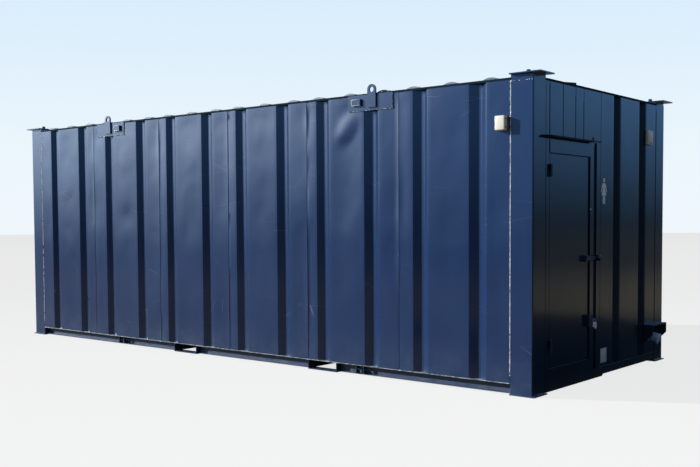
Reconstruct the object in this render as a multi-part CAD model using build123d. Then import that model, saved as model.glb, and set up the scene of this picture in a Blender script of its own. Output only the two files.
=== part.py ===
from build123d import *
from math import cos, radians, sin
import os

# A portable steel site cabin: profiled sheet walls between folded corner posts, a ribbed roof, a steel
# base with fork pockets, lifting eyes, and one outward opening door in an end wall.
# Millimetres, +Z up. X runs along the cabin and the door is in the +X end. The front wall faces -Y.
# "Depth" is measured inwards from the plane of the outer wall faces, and "out" is measured outwards.

# Body
cabin_length = 7315.0
cabin_width = 2743.0
roof_edge_height = 2630.0

# Base
foot_thickness = 10.0
foot_end_side = 235.0
foot_long_side = 230.0
foot_out_end = 20.0
foot_out_side = 10.0
rail_height = 86.0
rail_web_depth = 110.0
rail_web_thickness = 6.0
rail_flange_width = 60.0
rail_flange_thickness = 7.0
base_bar_thickness = 4.0
joist_width = 50.0
joist_height = 70.0
joist_wall = 5.0
joist_spacing_wanted = 610.0
deck_thickness = 28.0

# Fork pockets, from the middle of the cabin
pocket_centres = (-676.0, 1356.0)
pocket_width = 355.0
pocket_plate_thickness = 8.0
pocket_strap_length = 110.0
pocket_strap_thickness = 8.0

# Lashing plates under the long walls
lashing_centre = 1829.0
lashing_gap = 88.0
lashing_plate_thickness = 10.0
lashing_plate_height = 78.0
lashing_hole_diameter = 22.0
lashing_hole_setback = 32.0

# Corner posts, and the collar, cap and stacking pin on each
post_width = 213.0
post_thickness = 5.0
post_edge_radius = 12.0
post_return_radius = 8.0
collar_height = 28.0
collar_inset = 5.0
cap_thickness = 10.0
cap_rise = 19.0
cap_out_end = 78.0
cap_out_side = 30.0
pin_diameter = 40.0
pin_height = 35.0
pin_chamfer = 6.0

# Profiled wall sheets
sheet_thickness = 3.0
sheet_bend_radius = 8.0
groove_depth = 45.0
groove_top_width = 172.0
groove_flank_run = 65.0
groove_short_pitch = 540.0
sheet_cover = 1135.0
long_wall_sheets = 6
end_groove_offset = 232.0

# Inner wall boards, ceiling and roof
lining_thickness = 40.0
ceiling_thickness = 12.0
ceiling_below_edge = 150.0
roof_edge_thickness = 7.0
roof_edge_width = 88.0
roof_sheet_thickness = 3.0
roof_rib_width = 158.0
roof_rib_height = 20.0
roof_sheet_cover = 1135.0
roof_rib_pitch = 400.0
roof_setback = 25.0

# Lifting points, one pair on each long wall
lift_centre = 2000.0
patch_length = 520.0
patch_height = 155.0
patch_thickness = 8.0
patch_towards_lug = 28.0
eye_width = 96.0
eye_height = 210.0
eye_thickness = 16.0
eye_hole_diameter = 50.0
eye_rise = 77.0
lug_length = 105.0
lug_height = 62.0
lug_out = 24.0
lug_chamfer = 5.0
lug_from_eye = 180.0

# Door end, measured along the wall from the front wall face
stile_edge = 280.0
door_opening_width = 763.0
door_gap_hinge = 6.0
door_gap_lock = 10.0
door_gap_top = 6.0
door_gap_bottom = 6.0
sill_height = 208.0
sill_past_panel = 76.0
sill_end_radius = 30.0
door_head_height = 2020.0
head_joint_gap = 6.0
head_panel_tall = 130.0
door_thickness = 42.0
door_recess = 12.0
leaf_edge_radius = 3.0
frame_thickness = 3.0
stop_gap = 5.0
stop_width = 22.0
lock_stile_width = 79.0
band_width = 48.0
band_depth = 34.0
flat_panel_width = 84.0
header_joints = (276.0, 512.0, 746.0, 902.0)
header_joint_gap = 8.0
drip_start = 129.0
drip_past_band = 12.0
drip_out = 63.0
drip_thickness = 3.0
drip_lip = 26.0
drip_below_joint = 19.0

# Hinges, latch and lock
hinge_knuckle_diameter = 22.0
hinge_pin_diameter = 12.0
hinge_pin_clearance = 0.08
hinge_pin_short = 4.0
hinge_knuckle_gap = 1.0
hinge_out = 16.0
hinge_height = 107.0
hinge_centres = (396.0, 1870.0)
hinge_leaf_length = 34.0
hinge_leaf_thickness = 5.0
latch_height = 1113.0
latch_bar_width = 34.0
latch_bar_thickness = 12.0
latch_bar_clearance = 8.0
latch_block_from_edge = 108.0
latch_block_length = 40.0
latch_block_height = 58.0
latch_block_out = 25.0
latch_block_radius = 8.0
latch_knob_past_edge = 130.0
latch_knob_diameter = 56.0
latch_knob_length = 40.0
latch_knob_radius = 14.0
lock_height = 550.0
lock_tall = 106.0
lock_out = 25.0
lock_from_edge = 50.0
lock_block_length = 30.0
lock_body_length = 42.0
lock_body_radius = 14.0
lock_clearance = 8.0
door_open_limit = 170.0

# Lamps
lamp_length = 102.0
lamp_tall = 123.0
lamp_out = 61.0
lamp_corner = 10.0
front_lamp_from_corner = 280.0
front_lamp_below_edge = 373.0
end_lamp_length = 122.0
end_lamp_tall = 134.0
end_lamp_out = 35.0
end_lamp_from_corner = 409.0
end_lamp_below_edge = 359.0

# Power inlet under its hood, near the back corner of the door end
hood_from_corner = 123.0
hood_width = 355.0
hood_top = 402.0
hood_tall = 180.0
hood_front_tall = 99.0
hood_lip = 12.0
hood_out = 95.0
hood_low_out = 8.0
hood_thickness = 3.0
socket_from_hood_side = 131.0
socket_height = 292.0
socket_tilt = 20.0
socket_length = 115.0
socket_diameter = 88.0
socket_rim_diameter = 105.0
socket_rim_length = 16.0
socket_rim_chamfer = 4.0
socket_flange = 108.0
socket_flange_thickness = 16.0
socket_flange_radius = 8.0

# Derived places
half_length = cabin_length / 2
half_width = cabin_width / 2
rail_bottom = foot_thickness
rail_top = rail_bottom + rail_height
base_top = rail_top + base_bar_thickness
deck_top = base_top + deck_thickness
skin_depth = groove_depth + sheet_thickness
wall_depth = skin_depth + lining_thickness
rail_inner = rail_web_depth + rail_web_thickness
flange_tip_depth = rail_web_depth - rail_flange_width
edge_bar_top = roof_edge_height - roof_sheet_thickness
edge_bar_bottom = edge_bar_top - roof_edge_thickness
cap_bottom = roof_edge_height + cap_rise
cap_top = cap_bottom + cap_thickness
ceiling_height = roof_edge_height - ceiling_below_edge
front_lamp_height = roof_edge_height - front_lamp_below_edge
end_lamp_height = roof_edge_height - end_lamp_below_edge
post_top = cap_bottom - collar_height
lock_edge = stile_edge + door_opening_width
band_start = lock_edge + lock_stile_width
band_end = band_start + band_width
flat_panel_end = band_end + flat_panel_width
leaf_start = stile_edge + door_gap_hinge
leaf_end = lock_edge - door_gap_lock
leaf_bottom = sill_height + door_gap_bottom
leaf_top = door_head_height - door_gap_top
stop_depth = door_recess + door_thickness + stop_gap
head_panel_height = door_head_height + head_panel_tall
drip_bottom = head_panel_height - drip_below_joint
band_top = head_panel_height - frame_thickness
hood_start = cabin_width - hood_from_corner - hood_width
hood_end = hood_start + hood_width
socket_y = hood_start + socket_from_hood_side
socket_reach = (
    hood_thickness
    + socket_length * cos(radians(socket_tilt))
    + socket_rim_diameter / 2 * sin(radians(socket_tilt))
)

# The origin is the middle of the outer box, so it moves with what stands out on one side only
reach_door_end = max(cap_out_end, hood_out, drip_out, socket_reach)
reach_back = max(cap_out_side, patch_thickness + lug_out, patch_thickness + eye_thickness)
reach_front = max(reach_back, lamp_out)
shift_x = (reach_door_end - cap_out_end) / 2
shift_y = (reach_back - reach_front) / 2


def block(x0, x1, y0, y1, z0, z1):
    """A box between two corners."""
    low = (min(x0, x1), min(y0, y1), min(z0, z1))
    size = (abs(x1 - x0), abs(y1 - y0), abs(z1 - z0))
    return Pos(*low) * Box(*size, align=(Align.MIN, Align.MIN, Align.MIN))


def front_block(x0, x1, depth0, depth1, z0, z1):
    """A box behind the front wall plane."""
    return block(x0, x1, -half_width + depth0, -half_width + depth1, z0, z1)


def door_block(y0, y1, depth0, depth1, z0, z1):
    """A box behind the door end plane, with y measured from the front wall face."""
    return block(half_length - depth0, half_length - depth1, y0 - half_width, y1 - half_width, z0, z1)


def to_back(shape):
    return mirror(shape, about=Plane.XZ)


def to_blank_end(shape):
    return mirror(shape, about=Plane.YZ)


def four_corners(shape):
    """The same piece at the four corners, from the one at the front of the door end."""
    pair = [shape, to_blank_end(shape)]
    return pair + [to_back(piece) for piece in pair]


def on_door_end(shape):
    """Turn a piece drawn along x, with y as depth, so that it stands on the door end."""
    return Pos(half_length, 0, 0) * Rot(0, 0, 90) * shape


def round_edges_along(shape, axis, radius):
    return fillet(shape.edges().filter_by(axis), radius)


def folded_section(points, radius, thickness):
    """The section of a sheet folded along an outer line, with its thickness to the left of it."""
    line = FilletPolyline(*points, radius=radius)
    return make_face(offset(line, amount=thickness, side=Side.LEFT, closed=True))


def profiled_sheet(start, end, groove_centres, bottom, top):
    """A folded sheet standing on its edge, with crests at y = 0 and grooves pressed to +y."""
    points = [(start, 0.0)]
    room = groove_top_width / 2 + sheet_bend_radius
    for centre in sorted(groove_centres):
        if centre - room < start or centre + room > end:
            continue
        left = centre - groove_top_width / 2
        right = centre + groove_top_width / 2
        points += [
            (left, 0.0),
            (left + groove_flank_run, groove_depth),
            (right - groove_flank_run, groove_depth),
            (right, 0.0),
        ]
    points.append((end, 0.0))
    section = folded_section(points, sheet_bend_radius, sheet_thickness)
    return Pos(0, 0, bottom) * extrude(section, top - bottom)


# Base
def rail_section():
    """The long rail: a channel with its flanges outwards, under a flat bar that carries the wall sheet."""
    lip = rail_flange_thickness
    points = [
        (0.0, rail_top),
        (0.0, base_top),
        (rail_inner, base_top),
        (rail_inner, rail_bottom),
        (flange_tip_depth, rail_bottom),
        (flange_tip_depth, rail_bottom + lip),
        (rail_web_depth, rail_bottom + lip),
        (rail_web_depth, rail_top - lip),
        (flange_tip_depth, rail_top - lip),
        (flange_tip_depth, rail_top),
    ]
    return make_face(Plane.YZ * Polyline(*points, close=True))


def side_rail_front():
    run = cabin_length - 2 * post_width
    rail = Pos(-run / 2, -half_width, 0) * extrude(rail_section(), run, dir=(1, 0, 0))
    reach = pocket_width / 2 + pocket_plate_thickness
    for centre in pocket_centres:
        rail -= front_block(centre - reach, centre + reach, 0, rail_inner, 0, rail_top)
    return rail


def end_rail():
    """An end rail between two posts, drawn on the door end."""
    run = cabin_width - 2 * post_width
    return on_door_end(Pos(-run / 2, 0, 0) * extrude(rail_section(), run, dir=(1, 0, 0)))


def end_rail_door():
    """The door end rail, cut back behind the sill's face."""
    sill_end = flat_panel_end + sill_past_panel
    return end_rail() - door_block(post_width, sill_end, 0, frame_thickness, rail_bottom, base_top)


def floor_joists():
    """Channel joists between the long rails, kept clear of the fork pockets."""
    bays = round((cabin_length - 2 * rail_inner) / joist_spacing_wanted)
    pitch = (cabin_length - 2 * rail_inner) / bays
    joists = []
    for index in range(1, bays):
        x = -half_length + rail_inner + index * pitch
        reach = pocket_width / 2 + pocket_plate_thickness + joist_width
        if any(abs(x - centre) < reach for centre in pocket_centres):
            continue
        section = Rectangle(joist_width, joist_height)
        section -= Pos(joist_wall, 0) * Rectangle(joist_width, joist_height - 2 * joist_wall)
        run = cabin_width - 2 * rail_inner
        joist = extrude(Plane.XZ * section, run / 2, both=True)
        joists.append(Pos(x, 0, base_top - joist_height / 2) * joist)
    return joists


def fork_pocket_plates():
    plates = []
    for centre in pocket_centres:
        for side in (-1, 1):
            inside = centre + side * pocket_width / 2
            outside = inside + side * pocket_plate_thickness
            plates.append(block(inside, outside, -half_width, half_width, rail_bottom, rail_top))
    return plates


def fork_pocket_straps():
    straps = []
    reach = pocket_width / 2 + pocket_plate_thickness
    strap_bottom = rail_bottom - pocket_strap_thickness
    for centre in pocket_centres:
        strap = front_block(
            centre - reach, centre + reach, 0, pocket_strap_length, strap_bottom, rail_bottom
        )
        straps += [strap, to_back(strap)]
    return straps


def lashing_plates():
    """Pairs of holed plates between the rail's flanges, for the pin of a shackle."""
    plates = []
    bottom = rail_top - lashing_plate_height
    for centre in (-lashing_centre, lashing_centre):
        for side in (-1, 1):
            x = centre + side * lashing_gap / 2
            half = lashing_plate_thickness / 2
            plate = front_block(x - half, x + half, 0, flange_tip_depth, bottom, rail_top)
            hole = Cylinder(lashing_hole_diameter / 2, lashing_plate_thickness, rotation=(0, 90, 0))
            hole_z = rail_top - lashing_plate_height / 2
            plate -= Pos(x, -half_width + lashing_hole_setback, hole_z) * hole
            plates += [plate, to_back(plate)]
    return plates


def foot_plates():
    end = half_length + foot_out_end
    side = -half_width - foot_out_side
    return four_corners(block(end - foot_end_side, end, side, side + foot_long_side, 0, foot_thickness))


def floor_deck():
    reach_x = half_length - skin_depth
    reach_y = half_width - skin_depth
    return block(-reach_x, reach_x, -reach_y, reach_y, base_top, deck_top)


# Frame
def corner_post():
    """A folded post: two outer faces with returned edges, open to the inside of the corner."""
    points = [
        (-post_width, skin_depth),
        (-post_width, 0.0),
        (0.0, 0.0),
        (0.0, post_width),
        (-skin_depth, post_width),
    ]
    radii = [post_return_radius, post_edge_radius, post_return_radius]
    section = folded_section(points, radii, post_thickness)
    return Pos(half_length, -half_width, rail_bottom) * extrude(section, post_top - rail_bottom)


def post_caps():
    """On each post a collar, a wider cap plate and the pin that takes the foot of a cabin above."""
    inner_x = half_length - post_width
    inner_y = -half_width + post_width
    collar = block(
        inner_x, half_length - collar_inset, -half_width + collar_inset, inner_y, post_top, cap_bottom
    )
    cap = block(
        inner_x, half_length + cap_out_end, -half_width - cap_out_side, inner_y, cap_bottom, cap_top
    )
    pin = extrude(Circle(pin_diameter / 2), pin_height)
    pin = chamfer(pin.edges().group_by(Axis.Z)[-1], pin_chamfer)
    pin_x = half_length - post_width / 2
    pin_y = -half_width + post_width / 2
    return four_corners(collar + cap + Pos(pin_x, pin_y, cap_top) * pin)


def roof_edge():
    """Flat bars that close the tops of the sheets between the posts."""
    reach = half_length - post_width
    front = front_block(-reach, reach, 0, roof_edge_width, edge_bar_bottom, edge_bar_top)
    door = door_block(
        post_width, cabin_width - post_width, 0, roof_edge_width, edge_bar_bottom, edge_bar_top
    )
    return [front, to_back(front), door, to_blank_end(door)]


# Walls
def long_grooves():
    """Two grooves to each sheet of a long wall."""
    centres = []
    for index in range(long_wall_sheets):
        middle = (index - (long_wall_sheets - 1) / 2) * sheet_cover
        centres += [middle - groove_short_pitch / 2, middle + groove_short_pitch / 2]
    return centres


def front_wall():
    reach = half_length - post_width
    sheet = profiled_sheet(-reach, reach, long_grooves(), base_top, edge_bar_bottom)
    return Pos(0, -half_width, 0) * sheet


def end_grooves():
    """Groove centres on an end wall, from its middle, spaced as on the long walls."""
    wide_pitch = sheet_cover - groove_short_pitch
    near = end_groove_offset
    return [-near - wide_pitch, -near, near, near + wide_pitch]


def blank_end_wall():
    reach = half_width - post_width
    sheet = profiled_sheet(-reach, reach, end_grooves(), base_top, edge_bar_bottom)
    return to_blank_end(on_door_end(sheet))


def door_end_wall():
    start = flat_panel_end - half_width
    sheet = profiled_sheet(start, half_width - post_width, end_grooves(), base_top, edge_bar_bottom)
    return on_door_end(sheet)


def front_lining():
    reach = half_length - skin_depth
    return front_block(-reach, reach, skin_depth, wall_depth, deck_top, edge_bar_bottom)


def end_lining(start, end, bottom):
    """Inner board of the door end, with its sides measured from the front wall face."""
    return door_block(start, end, skin_depth, wall_depth, bottom, edge_bar_bottom)


# Doorway
def door_jamb_hinge():
    """Folded stile beside the hinges: outer face, reveal and door stop."""
    face = door_block(post_width, stile_edge, 0, frame_thickness, sill_height, head_panel_height)
    reveal = door_block(
        stile_edge - frame_thickness, stile_edge, 0, wall_depth, sill_height, door_head_height
    )
    stop = door_block(
        stile_edge, stile_edge + stop_width, stop_depth, wall_depth, sill_height, door_head_height
    )
    return face + reveal + stop


def band_section():
    """The deep band beside the lock stile and the flat panel past it, folded from one sheet."""
    near = band_start - frame_thickness
    far = band_end + frame_thickness
    back = band_depth + frame_thickness
    channel = door_block(near, far, 0, back, base_top, band_top)
    channel -= door_block(band_start, band_end, 0, band_depth, base_top, band_top)
    ledge = door_block(near, far, 0, back, band_top, band_top + frame_thickness)
    panel = door_block(band_end, flat_panel_end, 0, frame_thickness, base_top, head_panel_height)
    return channel + ledge + panel


def door_jamb_lock():
    """Folded stile on the lock side, with the deep band and the flat panel beside it."""
    face = door_block(lock_edge, band_start, 0, frame_thickness, sill_height, head_panel_height)
    reveal = door_block(
        lock_edge, lock_edge + frame_thickness, 0, wall_depth, sill_height, door_head_height
    )
    stop = door_block(
        lock_edge, lock_edge - stop_width, stop_depth, wall_depth, sill_height, door_head_height
    )
    return face + reveal + stop + band_section()


def door_head():
    """Panel over the leaf, parted from the hinge stile by an open joint, with its soffit and stop."""
    face = door_block(
        stile_edge + head_joint_gap, lock_edge, 0, frame_thickness, door_head_height, head_panel_height
    )
    soffit = door_block(
        stile_edge, lock_edge, 0, wall_depth, door_head_height, door_head_height + frame_thickness
    )
    stop = door_block(
        stile_edge + stop_width,
        lock_edge - stop_width,
        stop_depth,
        wall_depth,
        door_head_height - stop_width,
        door_head_height,
    )
    return face + soffit + stop


def door_sill():
    """Folded sill: a tall face under the doorway, a low one under the flat panel, and the tread."""
    tall_end = band_start - frame_thickness
    low_end = flat_panel_end + sill_past_panel
    low_face = door_block(tall_end, low_end, 0, frame_thickness, rail_bottom, base_top)
    low_corner = low_face.edges().filter_by(Axis.X).sort_by(Axis.Z)[:2].sort_by(Axis.Y)[-1]
    low_face = fillet(low_corner, sill_end_radius)
    face = door_block(post_width, tall_end, 0, frame_thickness, rail_bottom, sill_height)
    tread_bottom = sill_height - frame_thickness
    tread = door_block(post_width, tall_end, 0, skin_depth, tread_bottom, sill_height)
    inner_tread = door_block(stile_edge, lock_edge, 0, wall_depth, tread_bottom, sill_height)
    riser = door_block(
        stile_edge, lock_edge, wall_depth - frame_thickness, wall_depth, deck_top, sill_height
    )
    return low_face + face + tread + inner_tread + riser


def door_header_panel():
    """The flat panels between the door head and the roof, with open joints between them."""
    edges = [post_width] + list(header_joints) + [flat_panel_end]
    panels = []
    for left, right in zip(edges[:-1], edges[1:]):
        start = left if left == post_width else left + header_joint_gap
        panels.append(door_block(start, right, 0, frame_thickness, head_panel_height, edge_bar_bottom))
    return panels


def drip_strip():
    """An angle over the door, with its lip turned up so that it carries rain to the side."""
    end = band_start + drip_past_band
    plate = door_block(drip_start, end, -drip_out, 0, drip_bottom, drip_bottom + drip_thickness)
    lip = door_block(
        drip_start, end, -drip_out, -drip_out + drip_thickness, drip_bottom, drip_bottom + drip_lip
    )
    return plate + lip


# Roof
def roof_ribs():
    """Rib centres along the roof, three to each sheet, as far as the sheet reaches."""
    centres = []
    for index in range(long_wall_sheets):
        middle = (index - (long_wall_sheets - 1) / 2) * roof_sheet_cover
        centres += [middle - roof_rib_pitch, middle, middle + roof_rib_pitch]
    reach = half_length - roof_setback - roof_rib_width / 2
    return [centre for centre in centres if abs(centre) < reach]


def roof_sheet():
    """One ribbed sheet, set back from the roof edge and cut out round the corner posts."""
    level = roof_edge_height
    underside = level - roof_sheet_thickness
    reach = half_length - roof_setback
    lines = []
    x = -reach
    for centre in roof_ribs():
        left = centre - roof_rib_width / 2
        right = centre + roof_rib_width / 2
        lines.append(Line((x, level), (left, level)))
        lines.append(ThreePointArc((left, level), (centre, level + roof_rib_height), (right, level)))
        x = right
    lines.append(Line((x, level), (reach, level)))
    lines.append(Line((reach, level), (reach, underside)))
    lines.append(Line((reach, underside), (-reach, underside)))
    lines.append(Line((-reach, underside), (-reach, level)))
    section = Plane.XZ * make_face(Wire(Curve(children=lines).edges()))
    sheet = extrude(section, half_width - roof_setback, both=True)
    corner = block(
        half_length,
        half_length - post_width,
        -half_width,
        -half_width + post_width,
        underside,
        level + roof_rib_height,
    )
    for cut in four_corners(corner):
        sheet -= cut
    return sheet


def ceiling():
    reach_x = half_length - wall_depth
    reach_y = half_width - wall_depth
    return block(-reach_x, reach_x, -reach_y, reach_y, ceiling_height, ceiling_height + ceiling_thickness)


# Lifting points
def lifting_plates():
    """Patch plates that bridge the groove under each eye, with a lug towards the cabin's middle."""
    plates = []
    top = edge_bar_top
    lug_z = top - patch_height / 2
    for side in (-1, 1):
        centre = side * (lift_centre - patch_towards_lug)
        patch = front_block(
            centre - patch_length / 2, centre + patch_length / 2, -patch_thickness, 0, top - patch_height, top
        )
        lug_x = side * (lift_centre - lug_from_eye)
        lug = front_block(
            lug_x - lug_length / 2,
            lug_x + lug_length / 2,
            -patch_thickness - lug_out,
            -patch_thickness,
            lug_z - lug_height / 2,
            lug_z + lug_height / 2,
        )
        lug = chamfer(lug.faces().sort_by(Axis.Y)[0].edges(), lug_chamfer)
        plate = patch + lug
        plates += [plate, to_back(plate)]
    return plates


def lifting_eyes():
    """Plates with a rounded top and a shackle hole, welded to the patches."""
    eyes = []
    radius = eye_width / 2
    round_centre = Pos(0, eye_height / 2 - radius)
    section = round_centre * Circle(radius)
    section += Pos(0, -radius / 2) * Rectangle(eye_width, eye_height - radius)
    section -= round_centre * Circle(eye_hole_diameter / 2)
    middle_z = roof_edge_height + eye_rise - eye_height / 2
    for side in (-1, 1):
        eye = extrude(Plane.XZ * section, eye_thickness)
        eye = Pos(side * lift_centre, -half_width - patch_thickness, middle_z) * eye
        eyes += [eye, to_back(eye)]
    return eyes


# Fittings
def lamp(length, tall, out):
    """A moulded lamp body with rounded front edges, its back at y = 0 and its face at -y."""
    body = Pos(0, -out / 2, 0) * Box(length, out, tall)
    return fillet(body.faces().sort_by(Axis.Y)[0].edges(), lamp_corner)


def front_lamp():
    x = half_length - front_lamp_from_corner
    return Pos(x, -half_width, front_lamp_height) * lamp(lamp_length, lamp_tall, lamp_out)


def end_lamp():
    body = lamp(end_lamp_length, end_lamp_tall, end_lamp_out)
    return on_door_end(Pos(half_width - end_lamp_from_corner, 0, end_lamp_height) * body)


def inlet_hood():
    """A folded canopy on a back plate, with a short front lip and cheeks that slope back to the wall."""
    bottom = hood_top - hood_tall
    side = Polyline(
        (0, hood_top),
        (hood_out, hood_top),
        (hood_out, hood_top - hood_front_tall),
        (hood_low_out, bottom),
        (0, bottom),
        close=True,
    )
    body = extrude(Plane.XZ * make_face(side), -hood_width)
    far_cheek = hood_width - hood_thickness
    for out, top in ((hood_out - hood_thickness, hood_top - hood_thickness), (hood_out, hood_top - hood_lip)):
        body -= block(hood_thickness, out, hood_thickness, far_cheek, bottom, top)
    return Pos(half_length, hood_start - half_width, 0) * body


def inlet_socket():
    """The power inlet: a flange, and a round body with a lidded rim that points out and a little down."""
    plate_face = half_length + hood_thickness
    align = (Align.CENTER, Align.CENTER, Align.MIN)
    tube = Pos(0, 0, -socket_diameter / 2) * Cylinder(
        socket_diameter / 2, socket_diameter / 2 + socket_length, align=align
    )
    rim = Cylinder(socket_rim_diameter / 2, socket_rim_length, align=align)
    rim = chamfer(rim.edges().filter_by(GeomType.CIRCLE), socket_rim_chamfer)
    body = tube + Pos(0, 0, socket_length - socket_rim_length) * rim
    body = Rot(0, 90 + socket_tilt, 0) * body
    body -= Pos(-socket_diameter, 0, 0) * Box(2 * socket_diameter, 2 * socket_diameter, 2 * socket_diameter)
    flange = Box(socket_flange_thickness, socket_flange, socket_flange)
    flange = round_edges_along(flange, Axis.X, socket_flange_radius)
    body += Pos(socket_flange_thickness / 2, 0, 0) * flange
    return Pos(plate_face, socket_y - half_width, socket_height) * body


# Door
def door_leaf():
    leaf = door_block(
        leaf_start, leaf_end, door_recess, door_recess + door_thickness, leaf_bottom, leaf_top
    )
    return fillet(leaf.faces().sort_by(Axis.X)[-1].edges(), leaf_edge_radius)


def on_hinge_line(radius, bottom, top):
    """A round bar on the hinge line."""
    bar = Cylinder(radius, top - bottom, align=(Align.CENTER, Align.CENTER, Align.MIN))
    return Pos(half_length + hinge_out, stile_edge - half_width, bottom) * bar


def hinge_knuckles_fixed():
    """Lower knuckles with their pins, on straps welded to the hinge stile."""
    knuckles = []
    for centre in hinge_centres:
        bottom = centre - hinge_height / 2
        top = centre - hinge_knuckle_gap / 2
        body = on_hinge_line(hinge_knuckle_diameter / 2, bottom, top)
        body += on_hinge_line(hinge_pin_diameter / 2, bottom, bottom + hinge_height - hinge_pin_short)
        body += door_block(
            stile_edge - hinge_leaf_length, stile_edge, -hinge_leaf_thickness, 0, bottom, top
        )
        body += door_block(stile_edge - hinge_leaf_thickness, stile_edge, -hinge_out, 0, bottom, top)
        knuckles.append(body)
    return knuckles


def hinge_knuckles_moving():
    """Upper knuckles that drop over the pins, on cranked straps welded to the leaf."""
    knuckles = []
    for centre in hinge_centres:
        bottom = centre + hinge_knuckle_gap / 2
        top = centre + hinge_height / 2
        web_end = leaf_start + hinge_leaf_thickness
        strap_end = leaf_start + hinge_leaf_length
        strap_depth = door_recess - hinge_leaf_thickness
        body = on_hinge_line(hinge_knuckle_diameter / 2, bottom, top)
        body += door_block(leaf_start, web_end, -hinge_out, door_recess, bottom, top)
        body += door_block(leaf_start, strap_end, strap_depth, door_recess, bottom, top)
        body -= on_hinge_line(hinge_pin_diameter / 2 + hinge_pin_clearance, bottom, top)
        knuckles.append(body)
    return knuckles


def latch_bar():
    """A flat bar on a block on the leaf, reaching across the lock stile to a round knob."""
    start = leaf_end - latch_block_from_edge
    knob_y = leaf_end + latch_knob_past_edge
    mount = door_block(
        start,
        start + latch_block_length,
        -latch_block_out,
        door_recess,
        latch_height - latch_block_height / 2,
        latch_height + latch_block_height / 2,
    )
    mount = round_edges_along(mount, Axis.X, latch_block_radius)
    bar = door_block(
        start + latch_block_length / 2,
        knob_y,
        -latch_bar_clearance - latch_bar_thickness,
        -latch_bar_clearance,
        latch_height - latch_bar_width / 2,
        latch_height + latch_bar_width / 2,
    )
    knob = extrude(Circle(latch_knob_diameter / 2), latch_knob_length)
    knob = fillet(knob.edges().group_by(Axis.Z)[-1], latch_knob_radius)
    knob_x = half_length + latch_bar_clearance
    return mount + bar + Pos(knob_x, knob_y - half_width, latch_height) * Rot(0, 90, 0) * knob


def door_lock():
    """A block on the leaf with a rounded lock body that reaches across the stile."""
    start = leaf_end - lock_from_edge
    bottom = lock_height - lock_tall / 2
    top = lock_height + lock_tall / 2
    body_start = start + lock_block_length
    mount = door_block(start, body_start, -lock_out, door_recess, bottom, top)
    body = door_block(
        start + lock_block_length / 2, body_start + lock_body_length, -lock_out, -lock_clearance, bottom, top
    )
    return mount + round_edges_along(body, Axis.X, lock_body_radius)


def make_nodes():
    post = corner_post()
    rail = side_rail_front()
    lining = front_lining()
    wall = front_wall()
    inner_side = cabin_width - wall_depth
    lining_near_end = stile_edge - frame_thickness
    lining_far_start = lock_edge + frame_thickness
    return {
        "side_rail_front": rail,
        "side_rail_back": to_back(rail),
        "end_rail_door": end_rail_door(),
        "end_rail_blank": to_blank_end(end_rail()),
        "floor_joists": floor_joists(),
        "fork_pocket_plates": fork_pocket_plates(),
        "fork_pocket_straps": fork_pocket_straps(),
        "lashing_plates": lashing_plates(),
        "foot_plates": foot_plates(),
        "floor_deck": floor_deck(),
        "corner_post_front_door": post,
        "corner_post_back_door": to_back(post),
        "corner_post_front_blank": to_blank_end(post),
        "corner_post_back_blank": to_back(to_blank_end(post)),
        "post_caps": post_caps(),
        "roof_edge": roof_edge(),
        "front_wall": wall,
        "back_wall": to_back(wall),
        "blank_end_wall": blank_end_wall(),
        "door_end_wall": door_end_wall(),
        "front_lining": lining,
        "back_lining": to_back(lining),
        "blank_end_lining": to_blank_end(end_lining(wall_depth, inner_side, deck_top)),
        "door_end_lining_near": end_lining(wall_depth, lining_near_end, deck_top),
        "door_end_lining_far": end_lining(lining_far_start, inner_side, deck_top),
        "door_end_lining_over": end_lining(
            lining_near_end, lining_far_start, door_head_height + frame_thickness
        ),
        "door_jamb_hinge": door_jamb_hinge(),
        "door_jamb_lock": door_jamb_lock(),
        "door_head": door_head(),
        "door_sill": door_sill(),
        "door_header_panel": door_header_panel(),
        "drip_strip": drip_strip(),
        "roof_sheet": roof_sheet(),
        "ceiling": ceiling(),
        "lifting_plates": lifting_plates(),
        "lifting_eyes": lifting_eyes(),
        "front_lamp": front_lamp(),
        "end_lamp": end_lamp(),
        "inlet_hood": inlet_hood(),
        "inlet_socket": inlet_socket(),
        "hinge_knuckles_fixed": hinge_knuckles_fixed(),
        "hinge_knuckles_moving": hinge_knuckles_moving(),
        "door_leaf": door_leaf(),
        "latch_bar": latch_bar(),
        "door_lock": door_lock(),
    }


os.makedirs("parts", exist_ok=True)
for name, pieces in make_nodes().items():
    solids = pieces if isinstance(pieces, list) else [pieces]
    shape = Compound(children=[Pos(-shift_x, -shift_y, 0) * solid for solid in solids])
    export_step(shape, f"parts/{name}.step")
    print(name, [round(v, 1) for v in (*shape.bounding_box().min, *shape.bounding_box().max)])
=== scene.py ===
# %% [markdown]
# A portable site cabin, dressed for its portrait
#
# The real object is a steel box on a channel base: pressed wall sheets between folded corner posts, a low
# ribbed roof, and one door in the end wall. Its structure comes in as a fixed frame of solids. This script
# adds what a paint shop and ten years of yards add: gloss navy paint with dents, scratches, dust and rust,
# weld beads along the seams, lamps, screws, a door sign and a bunch of keys.
# Everything is in metres. X runs along the cabin with the door at its +X end, -Y is the front wall, +Z is up.

# %% Load the frame
import bpy
import bmesh
from itertools import product
from math import ceil, cos, pi, radians, sin, tan
from mathutils import Matrix, Vector


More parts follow.
